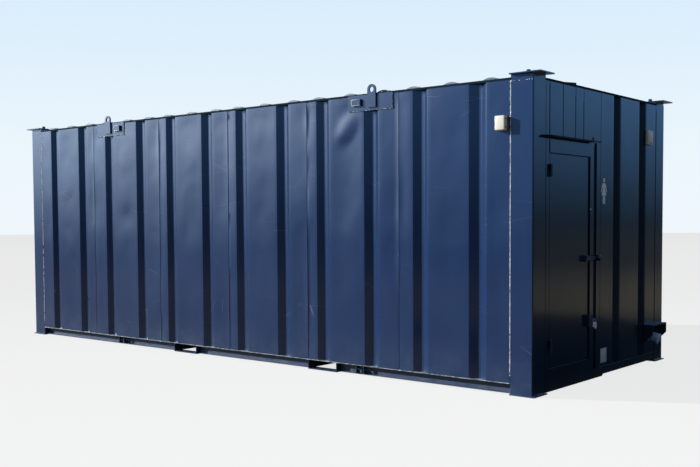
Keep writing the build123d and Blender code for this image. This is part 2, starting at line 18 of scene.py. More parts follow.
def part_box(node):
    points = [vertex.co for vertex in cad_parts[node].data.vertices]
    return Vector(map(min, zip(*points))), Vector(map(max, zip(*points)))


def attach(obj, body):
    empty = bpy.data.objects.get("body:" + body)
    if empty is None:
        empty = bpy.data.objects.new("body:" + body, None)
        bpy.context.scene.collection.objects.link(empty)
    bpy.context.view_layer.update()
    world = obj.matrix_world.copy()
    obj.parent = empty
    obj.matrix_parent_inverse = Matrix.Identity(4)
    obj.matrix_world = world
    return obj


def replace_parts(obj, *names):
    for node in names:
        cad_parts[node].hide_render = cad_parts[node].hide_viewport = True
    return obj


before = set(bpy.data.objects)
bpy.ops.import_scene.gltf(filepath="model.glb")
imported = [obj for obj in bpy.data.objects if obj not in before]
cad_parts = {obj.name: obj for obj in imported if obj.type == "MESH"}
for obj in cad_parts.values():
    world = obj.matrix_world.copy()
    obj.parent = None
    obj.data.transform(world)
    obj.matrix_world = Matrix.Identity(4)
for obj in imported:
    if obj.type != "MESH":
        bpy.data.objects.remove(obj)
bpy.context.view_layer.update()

# %% [markdown]
# The planes that the dressing is measured from are read off the frame's own pieces, so that nothing has to
# be fitted by eye: the four outer wall faces come from the corner posts, the height of the pressed sheets
# from the front wall, and the place where the door end's flat panel meets its pressed sheet from that sheet.

# %% Read the main planes off the frame
near_low, near_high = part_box("corner_post_front_door")
far_low, far_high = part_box("corner_post_back_blank")
door_x = near_high.x
blank_x = far_low.x
front_y = near_low.y
back_y = far_high.y
middle_x = (door_x + blank_x) / 2
middle_y = (front_y + back_y) / 2
half_length = (door_x - blank_x) / 2
half_width = (back_y - front_y) / 2
post_width = near_high.x - near_low.x
sheet_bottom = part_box("front_wall")[0].z
sheet_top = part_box("front_wall")[1].z
panel_end_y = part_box("door_end_wall")[0].y
print("outer faces", [round(v, 4) for v in (blank_x, door_x, front_y, back_y)], "sheets", sheet_bottom, sheet_top)


def end_point(y, z, out=0.0):
    """A place on the door end: y from the front wall's face, and how far it stands out."""
    return Vector((door_x + out, front_y + y, z))


def linked(name, data):
    """A new object in the scene."""
    obj = bpy.data.objects.new(name, data)
    bpy.context.scene.collection.objects.link(obj)
    return obj


# %% [markdown]
# The camera stands off the corner with the door, a little under head height.
# Its place, turn and lens came from fitting the cabin's long straight edges. The shift is the small offset
# that a cropped photograph has.

# %% Camera
camera_from_corner = Vector((3.7503, -6.7917, 1.4651))
camera_yaw = 0.683857
camera_pitch = -0.046879
camera_roll = -0.004549
focal_pixels = 939.4
image_width = 700
image_height = 467
axis_pixel = (362.84, 263.93)
sensor_width = 36.0

camera_data = bpy.data.cameras.new("portrait_camera")
camera_data.sensor_width = sensor_width
camera_data.lens = sensor_width * focal_pixels / image_width
camera_data.shift_x = (image_width / 2 - axis_pixel[0]) / image_width
camera_data.shift_y = (axis_pixel[1] - image_height / 2) / image_width
camera_data.dof.use_dof = False
camera = linked("portrait_camera", camera_data)
turn = Matrix.Rotation(camera_yaw, 4, "Z") @ Matrix.Rotation(pi / 2 + camera_pitch, 4, "X")
turn = turn @ Matrix.Rotation(camera_roll, 4, "Z")
stand = Vector((door_x, front_y, 0.0)) + camera_from_corner
camera.matrix_world = Matrix.Translation(stand) @ turn
bpy.context.scene.camera = camera
print("lens", round(camera_data.lens, 2), "mm at", [round(v, 3) for v in stand])

# %% [markdown]
# Node trees, for materials and for geometry alike, read best as sums. A `Wire` is an output socket that can
# be added, multiplied and compared in plain Python, and each such step puts down one Math node. A `Bench`
# holds a tree and has one method that adds any other node.

# %% Write node trees as sums
def joins(operation, turned=False):
    """A Python operator that puts down one Math node. turned swaps its two sides."""

    def act(self, other):
        return self.step(operation, *((other, self) if turned else (self, other)))

    return act


class Wire:
    """A value in a node tree that works in Python sums."""

    def __init__(self, bench, socket):
        self.bench = bench
        self.socket = socket

    def step(self, operation, *values):
        """One Math node."""
        return self.bench.wire("ShaderNodeMath", {"operation": operation}, dict(enumerate(values)))

    __add__ = __radd__ = joins("ADD")
    __mul__ = __rmul__ = joins("MULTIPLY")
    __sub__, __rsub__ = joins("SUBTRACT"), joins("SUBTRACT", True)
    __truediv__, __rtruediv__ = joins("DIVIDE"), joins("DIVIDE", True)
    __pow__ = joins("POWER")
    __gt__, __lt__ = joins("GREATER_THAN"), joins("LESS_THAN")
    most, least = joins("MAXIMUM"), joins("MINIMUM")

    def floor(self):
        return self.step("FLOOR", self)

    def rise(self, low, high):
        """0 below low, 1 above high and a smooth step between. It falls where low is above high."""
        values = {"Value": self, 1: min(low, high), 2: max(low, high)}
        risen = self.bench.wire("ShaderNodeMapRange", {"interpolation_type": "SMOOTHSTEP"}, values)
        return risen if low < high else 1 - risen


class Bench:
    """A material's or a world's node tree, with one method for any node."""

    def __init__(self, owner):
        owner.use_nodes = True
        self.tree = owner.node_tree
        self.tree.nodes.clear()

    def add(self, kind, settings=None, values=None):
        node = self.tree.nodes.new(kind)
        for name, value in (settings or {}).items():
            setattr(node, name, value)
        for place, value in (values or {}).items():
            socket = node.inputs[place]
            if isinstance(value, Wire):
                self.tree.links.new(value.socket, socket)
            elif isinstance(value, bpy.types.NodeSocket):
                self.tree.links.new(value, socket)
            else:
                socket.default_value = value
        return node

    def wire(self, kind, settings=None, values=None, output=0):
        """Any node, as the value that it gives."""
        return Wire(self, self.add(kind, settings, values).outputs[output])

    def axes(self, place):
        """The three numbers of a vector."""
        return [Wire(self, socket) for socket in self.add("ShaderNodeSeparateXYZ", None, {0: place}).outputs]

    def mix(self, factor, first, second):
        """A colour between two colours."""
        settings = {"data_type": "RGBA", "clamp_factor": True}
        return self.wire("ShaderNodeMix", settings, {0: factor, 6: first, 7: second}, 2)


class PaintBench(Bench):
    """A material's tree: where the surface is, its patterns, and its shader."""

    def __init__(self, name):
        self.material = bpy.data.materials.new(name)
        super().__init__(self.material)
        self.place = self.add("ShaderNodeTexCoord").outputs["Object"]
        self.x, self.y, self.z = self.axes(self.place)

    def stretched(self, scale, offset=(0, 0, 0)):
        values = {"Vector": self.place, "Scale": scale, "Location": offset}
        return self.wire("ShaderNodeMapping", None, values)

    def noise(self, size, detail=2.0, roughness=0.5, vector=None):
        """Soft noise whose lumps are about size metres across."""
        values = {"Vector": vector or self.place, "Scale": 1 / size, "Detail": detail, "Roughness": roughness}
        return self.wire("ShaderNodeTexNoise", None, values)

    def bump(self, height, distance, strength):
        values = {"Height": height, "Distance": distance, "Strength": strength}
        return self.wire("ShaderNodeBump", None, values)

    def finish(self, **sockets):
        names = {name: name.replace("_", " ").title().replace("Ior", "IOR") for name in sockets}
        shader = self.add("ShaderNodeBsdfPrincipled", None, {names[n]: v for n, v in sockets.items()})
        self.add("ShaderNodeOutputMaterial", None, {"Surface": shader.outputs[0]})
        return self.material


print("shader sums ready")

# %% [markdown]
# Gloss navy is one finish with several ages. Every painted piece shares the same recipe: a deep navy that
# drifts a little in tone, a film of road dust that thickens towards the ground, faint vertical rain streaks,
# hairline scratches and small rust spots. What differs is how much of each a piece has, so the recipe is
# a function of those amounts. All patterns read Object coordinates, which are the cabin's own metres. The
# door end stands away from the sun, so there the navy is painted darker as painted shade, with less dust and
# fewer scratches, and the sheet's grooves there are painted darker still and lose their coat, as painted shade.

# %% Navy paint
navy = (0.0070, 0.031, 0.112, 1.0)
navy_faded = (0.0095, 0.038, 0.130, 1.0)
# Painted shade: the door end's navy, painted darker because that end lies in shade.
navy_painted_shade = (0.0030, 0.0105, 0.030, 1.0)
# Painted shade: the door end's grooves, painted darker still.
navy_groove_shade = (0.0035, 0.0055, 0.0085, 1.0)
dust_colour = (0.17, 0.21, 0.25, 1.0)
scratch_colour = (0.20, 0.25, 0.33, 1.0)
rust_colour = (0.16, 0.055, 0.02, 1.0)
# How far in from the door end's face the painted shade reaches, and how far short of the side walls' faces it
# stops.
painted_shade_layer = 0.060
painted_shade_margin = 0.0015
# Deeper than this behind the door end's face, the grooves get more painted shade.
groove_layer = 0.006
fading = 0.5


def hairlines(paint, stretch, offset, width, patch):
    """Thin broken lines: the borders of large stretched cells, kept only in scattered patches."""
    cells = paint.wire(
        "ShaderNodeTexVoronoi",
        {"feature": "DISTANCE_TO_EDGE"},
        {"Vector": paint.stretched(stretch, offset), "Scale": 1.0},
    )
    kept = paint.noise(patch, 1.0, vector=paint.stretched((1, 1, 1), offset)).rise(0.60, 0.68)
    return (1 - cells.rise(0.0, width)) * kept


def navy_paint(name, dust, rust, scratches, roughness=0.31, dust_height=0.5, groove_shade=0.0):
    """Gloss navy with its amounts of dust, rust and scratches. Dust thickens below dust_height.

    kept is 1 on the door end between the side walls' faces, where the navy is painted darker as painted shade, and
    deep is where the grooves there are painted darker still, as painted shade, at the given strength.
    """
    paint = PaintBench(name)
    broad = paint.noise(0.9, 2.0)
    fine = paint.noise(0.05, 4.0, 0.6)
    colour = paint.mix(broad.rise(0.35, 0.7) * fading, navy, navy_faded)
    # Painted shade: kept marks the door end, where the navy is swapped for a darker one and its dust and scratches
    # are thinned.
    between_sides = (paint.y > front_y + painted_shade_margin) * (paint.y < back_y - painted_shade_margin)
    kept = (paint.x > door_x - painted_shade_layer) * between_sides
    colour = paint.mix(kept, colour, navy_painted_shade)
    streaks = paint.noise(1.0, 3.0, 0.6, paint.stretched((16, 16, 0.7)))
    near_ground = 1 - paint.z.rise(0.0, dust_height)
    film = near_ground * (0.25 + 0.75 * paint.noise(0.16, 4.0, 0.65).rise(0.3, 0.75))
    film = film + streaks.rise(0.56, 0.8) * 0.16
    film = (film * dust).least(1.0) * (1 - kept * 0.75)
    colour = paint.mix(film * 0.55, colour, dust_colour)
    lines = hairlines(paint, (0.7, 0.7, 5.0), (3.1, 0.4, 1.7), 0.006, 0.5)
    lines = lines.most(hairlines(paint, (1.6, 1.6, 2.6), (0.3, 7.4, 5.2), 0.004, 0.35)) * (1 - kept * 0.9)
    # Painted shade: deep marks the door end's grooves, which get a darker colour, more roughness and no coat.
    deep = kept * (paint.x < door_x - groove_layer) * groove_shade
    colour = paint.mix(deep, colour, navy_groove_shade)
    colour = paint.mix(lines * scratches * 0.6, colour, scratch_colour)
    spots = paint.noise(0.012, 3.0, 0.7).rise(0.68, 0.74) * (0.08 + near_ground ** 3.0)
    spots = spots * paint.noise(0.3, 1.0).rise(0.45, 0.6)
    colour = paint.mix((spots * rust * 3.0).least(1.0), colour, rust_colour)
    rough = roughness + 0.10 * (broad - 0.5) + 0.10 * (fine - 0.5)
    rough = rough + deep * 0.45 + 0.30 * film + 0.25 * spots
    height = fine * 0.25 + paint.noise(0.004, 1.0) * 0.06 - lines * 0.3 + spots * 0.8
    return paint.finish(
        base_color=colour,
        roughness=rough,
        coat_weight=(1 - film * 0.8).most(0.0) * (1 - deep),
        coat_roughness=0.10,
        specular_ior_level=0.22,
        normal=paint.bump(height, 0.0006, 0.4),
        ior=1.45,
    )


# The walls' grooves on the door end take painted shade at this strength.
wall_paint = navy_paint("navy_wall_paint", dust=0.30, rust=0.45, scratches=0.7, groove_shade=0.85)
post_paint = navy_paint("navy_post_paint", dust=0.28, rust=0.35, scratches=0.45)
door_paint = navy_paint("navy_door_paint", dust=0.18, rust=0.2, scratches=0.35, dust_height=0.3)
base_paint = navy_paint("navy_base_paint", dust=0.8, rust=1.2, scratches=0.5, roughness=0.5, dust_height=0.3)
print("navy finishes", wall_paint.name, post_paint.name, door_paint.name, base_paint.name)

# %% [markdown]
# The small fittings have finishes of their own: black hinge paint, cream lamp plastic that has yellowed,
# bright zinc on screws and keys, the pale blue of a low voltage inlet, and the white faced boards inside.
# Each drifts between two colours, in lumps of the size given next, with a roughness after that.

# %% Fittings' finishes
def speckled(name, colour, second, size, roughness, metallic=0.0, spread=0.15, **constants):
    """A finish that drifts between two colours in lumps of a given size."""
    paint = PaintBench(name)
    lumps = paint.noise(size, 3.0, 0.6)
    grain = paint.noise(size / 12, 2.0)
    return paint.finish(
        base_color=paint.mix(lumps.rise(0.38, 0.66), (*colour, 1), (*second, 1)),
        roughness=roughness + spread * (lumps - 0.5),
        metallic=metallic,
        normal=paint.bump(grain, 0.0002, 0.5),
        **constants,
    )


black_paint = speckled("black_fitting_paint", (0.004, 0.008, 0.014), (0.009, 0.013, 0.018), 0.03, 0.42)
cream_plastic = speckled("cream_lamp_plastic", (0.93, 0.91, 0.83), (0.88, 0.84, 0.72), 0.05, 0.38)
beige_plastic = speckled("beige_lamp_plastic", (0.66, 0.64, 0.54), (0.56, 0.55, 0.46), 0.06, 0.4)
beige_lens = speckled("beige_lens_plastic", (0.82, 0.80, 0.72), (0.72, 0.70, 0.62), 0.03, 0.25)
lamp_back = speckled("lamp_back_plastic", (0.30, 0.24, 0.17), (0.22, 0.18, 0.13), 0.03, 0.5)
seal_rubber = speckled("black_seal_rubber", (0.012, 0.012, 0.012), (0.03, 0.028, 0.026), 0.01, 0.7)
bright_zinc = speckled("bright_zinc", (0.62, 0.62, 0.64), (0.45, 0.45, 0.47), 0.01, 0.35, 1.0)
inlet_blue = speckled("inlet_blue_plastic", (0.42, 0.58, 0.80), (0.34, 0.50, 0.74), 0.03, 0.3)
inlet_pale = speckled("pale_inlet_plastic", (0.72, 0.80, 0.90), (0.62, 0.72, 0.84), 0.03, 0.3)
sign_vinyl = speckled("pale_sign_vinyl", (0.97, 0.98, 1.0), (0.90, 0.93, 0.98), 0.04, 0.30)
plate_finish = speckled("pale_plate_finish", (0.62, 0.68, 0.68), (0.50, 0.56, 0.57), 0.03, 0.45)
plate_rim = speckled("plate_rim", (0.30, 0.34, 0.35), (0.38, 0.42, 0.43), 0.02, 0.5)
key_tag = speckled("pale_key_tag", (0.88, 0.89, 0.97), (0.78, 0.80, 0.93), 0.02, 0.3)
lining_board = speckled("white_lining_board", (0.80, 0.80, 0.78), (0.74, 0.74, 0.71), 0.4, 0.45)
floor_board = speckled("sealed_floor_board", (0.22, 0.15, 0.09), (0.16, 0.11, 0.07), 0.08, 0.5)
roof_coating = speckled("grey_roof_coating", (0.16, 0.21, 0.27), (0.11, 0.145, 0.19), 0.5, 0.45)
weld_worn = speckled("worn_weld_steel", (0.42, 0.47, 0.54), (0.80, 0.83, 0.86), 0.028, 0.42, spread=0.2)
weld_bright = speckled("bare_weld", (0.66, 0.69, 0.74), (0.90, 0.91, 0.93), 0.028, 0.55)
# Pale edges: worn paint, and a painted highlight where the light catches them.
worn_edge_and_highlight = speckled("worn_edge_and_painted_highlight", (0.11, 0.15, 0.20), (0.50, 0.52, 0.53), 0.045, 0.45, spread=0.2)
# A painted highlight for edges that catch the light.
edge_glint = speckled("painted_edge_glint", (0.05, 0.075, 0.11), (0.13, 0.16, 0.20), 0.05, 0.4)
chipped_paint = speckled("chipped_paint", (0.10, 0.13, 0.18), (0.45, 0.48, 0.52), 0.02, 0.5)
# A matt paint darkened as painted shade, for the roof lip, the pocket and lashing plates and the roof tab.
lip_shade_paint = speckled(
    "matt_lip_painted_shade", (0.006, 0.024, 0.044), (0.010, 0.036, 0.062), 0.20, 0.65, specular_ior_level=0.1
)
# The drip gutter: weathered dark paint, with a painted reflection of the ground in its olive tone.
gutter_paint_and_reflection = speckled(
    "weathered_gutter_painted_reflection", (0.010, 0.018, 0.022), (0.018, 0.028, 0.032), 0.10, 0.6, specular_ior_level=0.2
)
# Dark joints, and black strips put in the door's gaps as painted shade.
joint_and_gap_shade = speckled(
    "dark_joint_and_painted_gap_shade", (0.0015, 0.004, 0.008), (0.003, 0.007, 0.012), 0.01, 0.8, specular_ior_level=0.1
)
rail_paint = navy_paint("navy_rail_paint", dust=1.0, rust=1.0, scratches=0.6, roughness=0.45)
print("fitting finishes made")

# %% [markdown]
# Solids whose shape is already right keep it and only get their finish. The list says which finish each
# kind of piece has.

# %% Paint the frame's own pieces
finishes = {
    post_paint: [
        "corner_post_front_door", "corner_post_back_door", "corner_post_front_blank",
        "corner_post_back_blank", "post_caps", "roof_edge", "lifting_plates", "lifting_eyes",
    ],
    # The pocket and lashing plates take the lip's paint, darkened as painted shade.
    lip_shade_paint: ["fork_pocket_plates", "lashing_plates"],
    door_paint: [
        "door_leaf", "door_jamb_hinge", "door_jamb_lock", "door_head", "door_sill", "door_header_panel",
    ],
    roof_coating: ["roof_sheet"],
    base_paint: [
        "side_rail_front", "side_rail_back", "end_rail_door", "end_rail_blank", "floor_joists",
        "fork_pocket_straps", "foot_plates",
    ],
    wall_paint: ["front_wall", "back_wall", "blank_end_wall", "door_end_wall"],
    black_paint: ["inlet_hood", "hinge_knuckles_fixed", "hinge_knuckles_moving", "latch_bar", "door_lock"],
    lining_board: [
        "front_lining", "back_lining", "blank_end_lining", "door_end_lining_near", "door_end_lining_far",
        "door_end_lining_over", "ceiling",
    ],
    floor_board: ["floor_deck"],
    cream_plastic: ["front_lamp"],
    beige_plastic: ["end_lamp"],
    inlet_blue: ["inlet_socket"],
}


def give_finish(obj, material):
    if not obj.material_slots:
        obj.data.materials.append(material)
    for place in obj.material_slots:
        place.material = material


for material, names in finishes.items():
    for name in names:
        give_finish(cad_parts[name], material)
unpainted = set(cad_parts) - {name for names in finishes.values() for name in names}
print("painted", len(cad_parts), "nodes, left out:", sorted(unpainted))

# %% [markdown]
# The walls are thin steel pressed into deep grooves, six sheets to a long wall. Between the grooves the
# flat crests never stay flat: they buckle by a few millimetres, and that is what breaks the gloss into the
# soft light and dark patches of the photograph. The sheet follows a rule, so it is made by Geometry Nodes.
# The script gives a row of points, the section, with a number on each point that says how freely it may
# buckle, and the tree stands a grid on that section and pushes the free parts in and out with noise.

# %% A sheet's section, as a row of points
sheet_thickness = 0.003
bend_radius = 0.008
bend_steps = 4
groove_depths = (0.037, 0.040)
groove_widths = (0.161, 0.170)
groove_flanks = (0.062, 0.068)
groove_pitch = 0.595
sheet_cover = 1.135
sheet_shifts = (-0.006, -0.005, -0.011, -0.019, -0.024, -0.008)
lap_step = 0.0026
lap_edge = 0.0012
lap_slope = 0.06
lap_freedom = 0.15
flank_freedom = 0.12
free_length = 0.3
crest_step = 0.045


def bend(before, corner, after, radius, steps):
    """Points round a bend between two straight runs."""
    into = Vector(corner) - Vector(before)
    away = Vector(after) - Vector(corner)
    into.normalize()
    away.normalize()
    turn_angle = into.angle_signed(away)
    reach = radius * tan(abs(turn_angle) / 2)
    start = Vector(corner) - into * reach
    side = 1 if turn_angle < 0 else -1
    centre = start + Vector((-into.y, into.x)) * radius * side
    points = []
    for step in range(steps + 1):
        spoke = start - centre
        spoke.rotate(Matrix.Rotation(-turn_angle * step / steps, 2))
        points.append(centre + spoke)
    return points


def sheet_section(start, end, grooves, laps):
    """(along, depth, freedom) of a wall sheet's outer face, from start to end."""
    corners = [(start, 0.0)]
    for index, centre in enumerate(grooves):
        width, depth, flank = groove_widths[index % 2], groove_depths[index % 2], groove_flanks[index % 2]
        left = centre - width / 2
        right = centre + width / 2
        corners += [(left, 0.0), (left + flank, depth), (right - flank, depth), (right, 0.0)]
    corners.append((end, 0.0))
    bends = [[Vector(corners[0])]]
    for before, corner, after in zip(corners, corners[1:], corners[2:]):
        bends.append(bend(before, corner, after, bend_radius, bend_steps))
    bends.append([Vector(corners[-1])])
    rows = []
    for first, second in zip(bends, bends[1:]):
        rows += [(p.x, p.y, 0.0) for p in first]
        a, b = first[-1], second[0]
        flat_crest = max(a.y, b.y) < 0.001
        length = (b - a).length
        steps = max(2, ceil(length / crest_step))
        for step in range(1, steps):
            share = step / steps
            point = a.lerp(b, share)
            freedom = min(1.0, length / free_length) if flat_crest else flank_freedom
            rows.append((point.x, point.y, freedom * sin(pi * share)))
    rows += [(p.x, p.y, 0.0) for p in bends[-1]]
    for lap in laps:
        rows.append((lap, 0.0, lap_freedom))
        rows.append((lap + lap_edge, lap_step, lap_freedom))
    rows.sort()
    stepped = []
    for along, depth, freedom in rows:
        past = [along - lap for lap in laps if lap_edge <= along - lap < lap_slope]
        drop = lap_step * (1 - past[0] / lap_slope) if past else 0.0
        stepped.append((along, max(depth, drop) if past else depth, freedom))
    return stepped


groove_centres = []
for index, shift in enumerate(sheet_shifts):
    sheet_middle = (index + 0.5 - len(sheet_shifts) / 2) * sheet_cover + shift
    groove_centres += [sheet_middle - groove_pitch / 2, sheet_middle + groove_pitch / 2]
long_reach = half_length - post_width
long_laps = (-2.320, -1.090, 0.045, 1.170, 2.290)
long_section = sheet_section(-long_reach, long_reach, groove_centres, long_laps)
print("long wall section has", len(long_section), "points")

# %% [markdown]
# In the tree, a grid has one column of points for each point of the section. Sample Index reads the
# section's point for each column, and Set Position puts the grid on it. The buckles fade towards the top
# and bottom edges, where the sheet is welded.

# %% Geometry Nodes for a pressed and buckled sheet
class ShapeBench(Bench):
    """A Geometry Nodes tree with named inputs: whole numbers, lengths, and None for a material."""

    kinds = {int: "NodeSocketInt", float: "NodeSocketFloat", type(None): "NodeSocketMaterial"}

    def __init__(self, name, **inputs):
        self.tree = tree = bpy.data.node_groups.new(name, "GeometryNodeTree")
        tree.interface.new_socket("Geometry", in_out="INPUT", socket_type="NodeSocketGeometry")
        for label, value in inputs.items():
            kind = self.kinds[type(value)]
            socket = tree.interface.new_socket(label.replace("_", " "), in_out="INPUT", socket_type=kind)
            if value is not None:
                socket.default_value = value
        tree.interface.new_socket("Geometry", in_out="OUTPUT", socket_type="NodeSocketGeometry")
        source = self.add("NodeGroupInput")
        self.given = {socket.name: Wire(self, socket) for socket in source.outputs if socket.name}

    def sample(self, kind, value, index):
        """A value read off the given geometry at an index."""
        values = {"Geometry": self.given["Geometry"], "Value": value, "Index": index}
        return self.wire("GeometryNodeSampleIndex", {"data_type": kind}, values)

    def named(self, kind, name):
        """A value that the given geometry carries under a name."""
        return self.wire("GeometryNodeInputNamedAttribute", {"data_type": kind}, {"Name": name})

    def close(self, geometry, material):
        """Realize what is instanced, set the material and end the tree."""
        real = self.wire("GeometryNodeRealizeInstances", None, {0: geometry})
        painted = self.wire("GeometryNodeSetMaterial", None, {0: real, "Material": material})
        self.add("NodeGroupOutput", None, {0: painted})


def grown(name, base_mesh, tree, values, body, finish=()):
    """Run a tree on a mesh, keep the result as a plain mesh, and put it on a body."""
    maker = linked(name + "_maker", base_mesh)
    modifier = maker.modifiers.new("grow", "NODES")
    modifier.node_group = tree
    for item in tree.interface.items_tree:
        if item.item_type == "SOCKET" and item.in_out == "INPUT" and item.name in values:
            modifier[item.identifier] = values[item.name]
    for kind, settings in finish:
        extra = maker.modifiers.new(kind.lower(), kind)
        for key, value in settings.items():
            setattr(extra, key, value)
    graph = bpy.context.evaluated_depsgraph_get()
    graph.update()
    mesh = bpy.data.meshes.new_from_object(maker.evaluated_get(graph), depsgraph=graph)
    mesh.name = name
    bpy.data.objects.remove(maker)
    piece = linked(name, mesh)
    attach(piece, body)
    return piece


sheet_tree = ShapeBench(
    "pressed_sheet", Bottom=0.0, Top=2.5, Rows=60, Columns=10, Buckle=0.004, Buckle_Size=0.5,
    Dent_Place=0.0, Dent_Height=2.3, Dent_Depth=0.0, Seed=0.0, Paint=None,
)
g = sheet_tree.given
grid = sheet_tree.wire("GeometryNodeMeshGrid", None, {"Vertices X": g["Columns"], "Vertices Y": g["Rows"]})
index = sheet_tree.wire("GeometryNodeInputIndex")
column = ((index + 0.5) / g["Rows"]).floor()
row = index - column * g["Rows"]
share = row / (g["Rows"] - 1)
height = g["Bottom"] + (g["Top"] - g["Bottom"]) * share
section_point = sheet_tree.sample("FLOAT_VECTOR", sheet_tree.wire("GeometryNodeInputPosition"), column)
freedom = sheet_tree.sample("FLOAT", sheet_tree.named("FLOAT", "freedom"), column)
along, depth, _ = sheet_tree.axes(section_point)
noise_place = sheet_tree.wire("ShaderNodeCombineXYZ", None, {0: along, 1: g["Seed"], 2: height * 0.75})
buckles = sheet_tree.wire(
    "ShaderNodeTexNoise",
    {"noise_dimensions": "3D"},
    {"Vector": noise_place, "Scale": 1 / g["Buckle Size"], "Detail": 2.0, "Roughness": 0.45},
)
welded = share.step("MULTIPLY", share, 1 - share).rise(0.0, 0.06)
noise_middle = 0.42
push = (buckles - noise_middle) * g["Buckle"] * 2.0 * freedom * welded
diagonal = 0.707
dent_long, dent_short = 0.26, 0.13
beside, above = along - g["Dent Place"], height - g["Dent Height"]
long_way, short_way = (beside + above) * diagonal, (above - beside) * diagonal
far_off = (long_way / dent_long) ** 2.0 + (short_way / dent_short) ** 2.0
dent = (1 - far_off).rise(0.0, 1.0) ** 2.0 * g["Dent Depth"] * freedom
final_place = sheet_tree.wire("ShaderNodeCombineXYZ", None, {0: along, 1: depth + push - dent, 2: height})
stood = sheet_tree.wire("GeometryNodeSetPosition", None, {"Geometry": grid, "Position": final_place})
sheet_tree.close(stood, g["Paint"])
print("sheet tree has", len(sheet_tree.tree.nodes), "nodes")

# %% [markdown]
# One tree serves all four walls. Each wall is drawn as if it were the front one, with its outer face
# looking towards -Y, then given its thickness and turned to its own side of the cabin.

# %% Stand the four walls
sheet_row_step = 0.042


def wall(name, section, turn_angle, place, seed, buckle=0.004, dent=(0.0, 0.0, 0.0)):
    """Press one wall's sheet and put it in the place of the frame's plain one. dent is (place, height, depth)."""
    base = bpy.data.meshes.new(name + "_section")
    base.from_pydata([(along, depth, 0.0) for along, depth, _ in section], [], [])
    freedom = base.attributes.new("freedom", "FLOAT", "POINT")
    freedom.data.foreach_set("value", [free for _, _, free in section])
    values = {
        "Bottom": sheet_bottom,
        "Top": sheet_top,
        "Rows": round((sheet_top - sheet_bottom) / sheet_row_step),
        "Columns": len(section),
        "Buckle": buckle,
        "Buckle Size": 0.48,
        **dict(zip(("Dent Place", "Dent Height", "Dent Depth"), dent)),
        "Seed": seed,
        "Paint": wall_paint,
    }
    thick = [("SOLIDIFY", {"thickness": sheet_thickness, "offset": -1.0, "use_even_offset": True})]
    piece = grown(name + "_pressed", base, sheet_tree.tree, values, "cabin", thick)
    piece.data.transform(Matrix.Translation(place) @ Matrix.Rotation(turn_angle, 4, "Z"))
    piece.data.shade_smooth()
    piece.data.set_sharp_from_angle(angle=radians(35))
    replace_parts(piece, name)
    print(name, len(piece.data.polygons), "faces")


long_buckle = 0.0095
door_end_buckle = 0.0035
plate_dent = (1.69, 2.33, 0.009)
end_reach = half_width - post_width
end_grooves = [-0.827, -0.232, 0.232, 0.827]
wall("front_wall", long_section, 0.0, Vector((middle_x, front_y, 0)), 3.0, long_buckle, plate_dent)
wall("back_wall", long_section, pi, Vector((middle_x, back_y, 0)), 11.0, long_buckle)
blank_section = sheet_section(-end_reach, end_reach, end_grooves, [-0.5])
wall("blank_end_wall", blank_section, -pi / 2, Vector((blank_x, middle_y, 0)), 17.0)
door_section = sheet_section(panel_end_y - middle_y, end_reach, [c for c in end_grooves if c > 0], [])
wall("door_end_wall", door_section, pi / 2, Vector((door_x, middle_y, 0)), 23.0, door_end_buckle)

# %% [markdown]
# Small hard pieces are gathered in a `Forging`: each call adds one closed solid with worked edges to its mesh,
# and `stand` puts the lot in the scene as one piece with one finish. A block's edges are always rounded a
# little, because on gloss paint it is the rounded edge that catches the light.

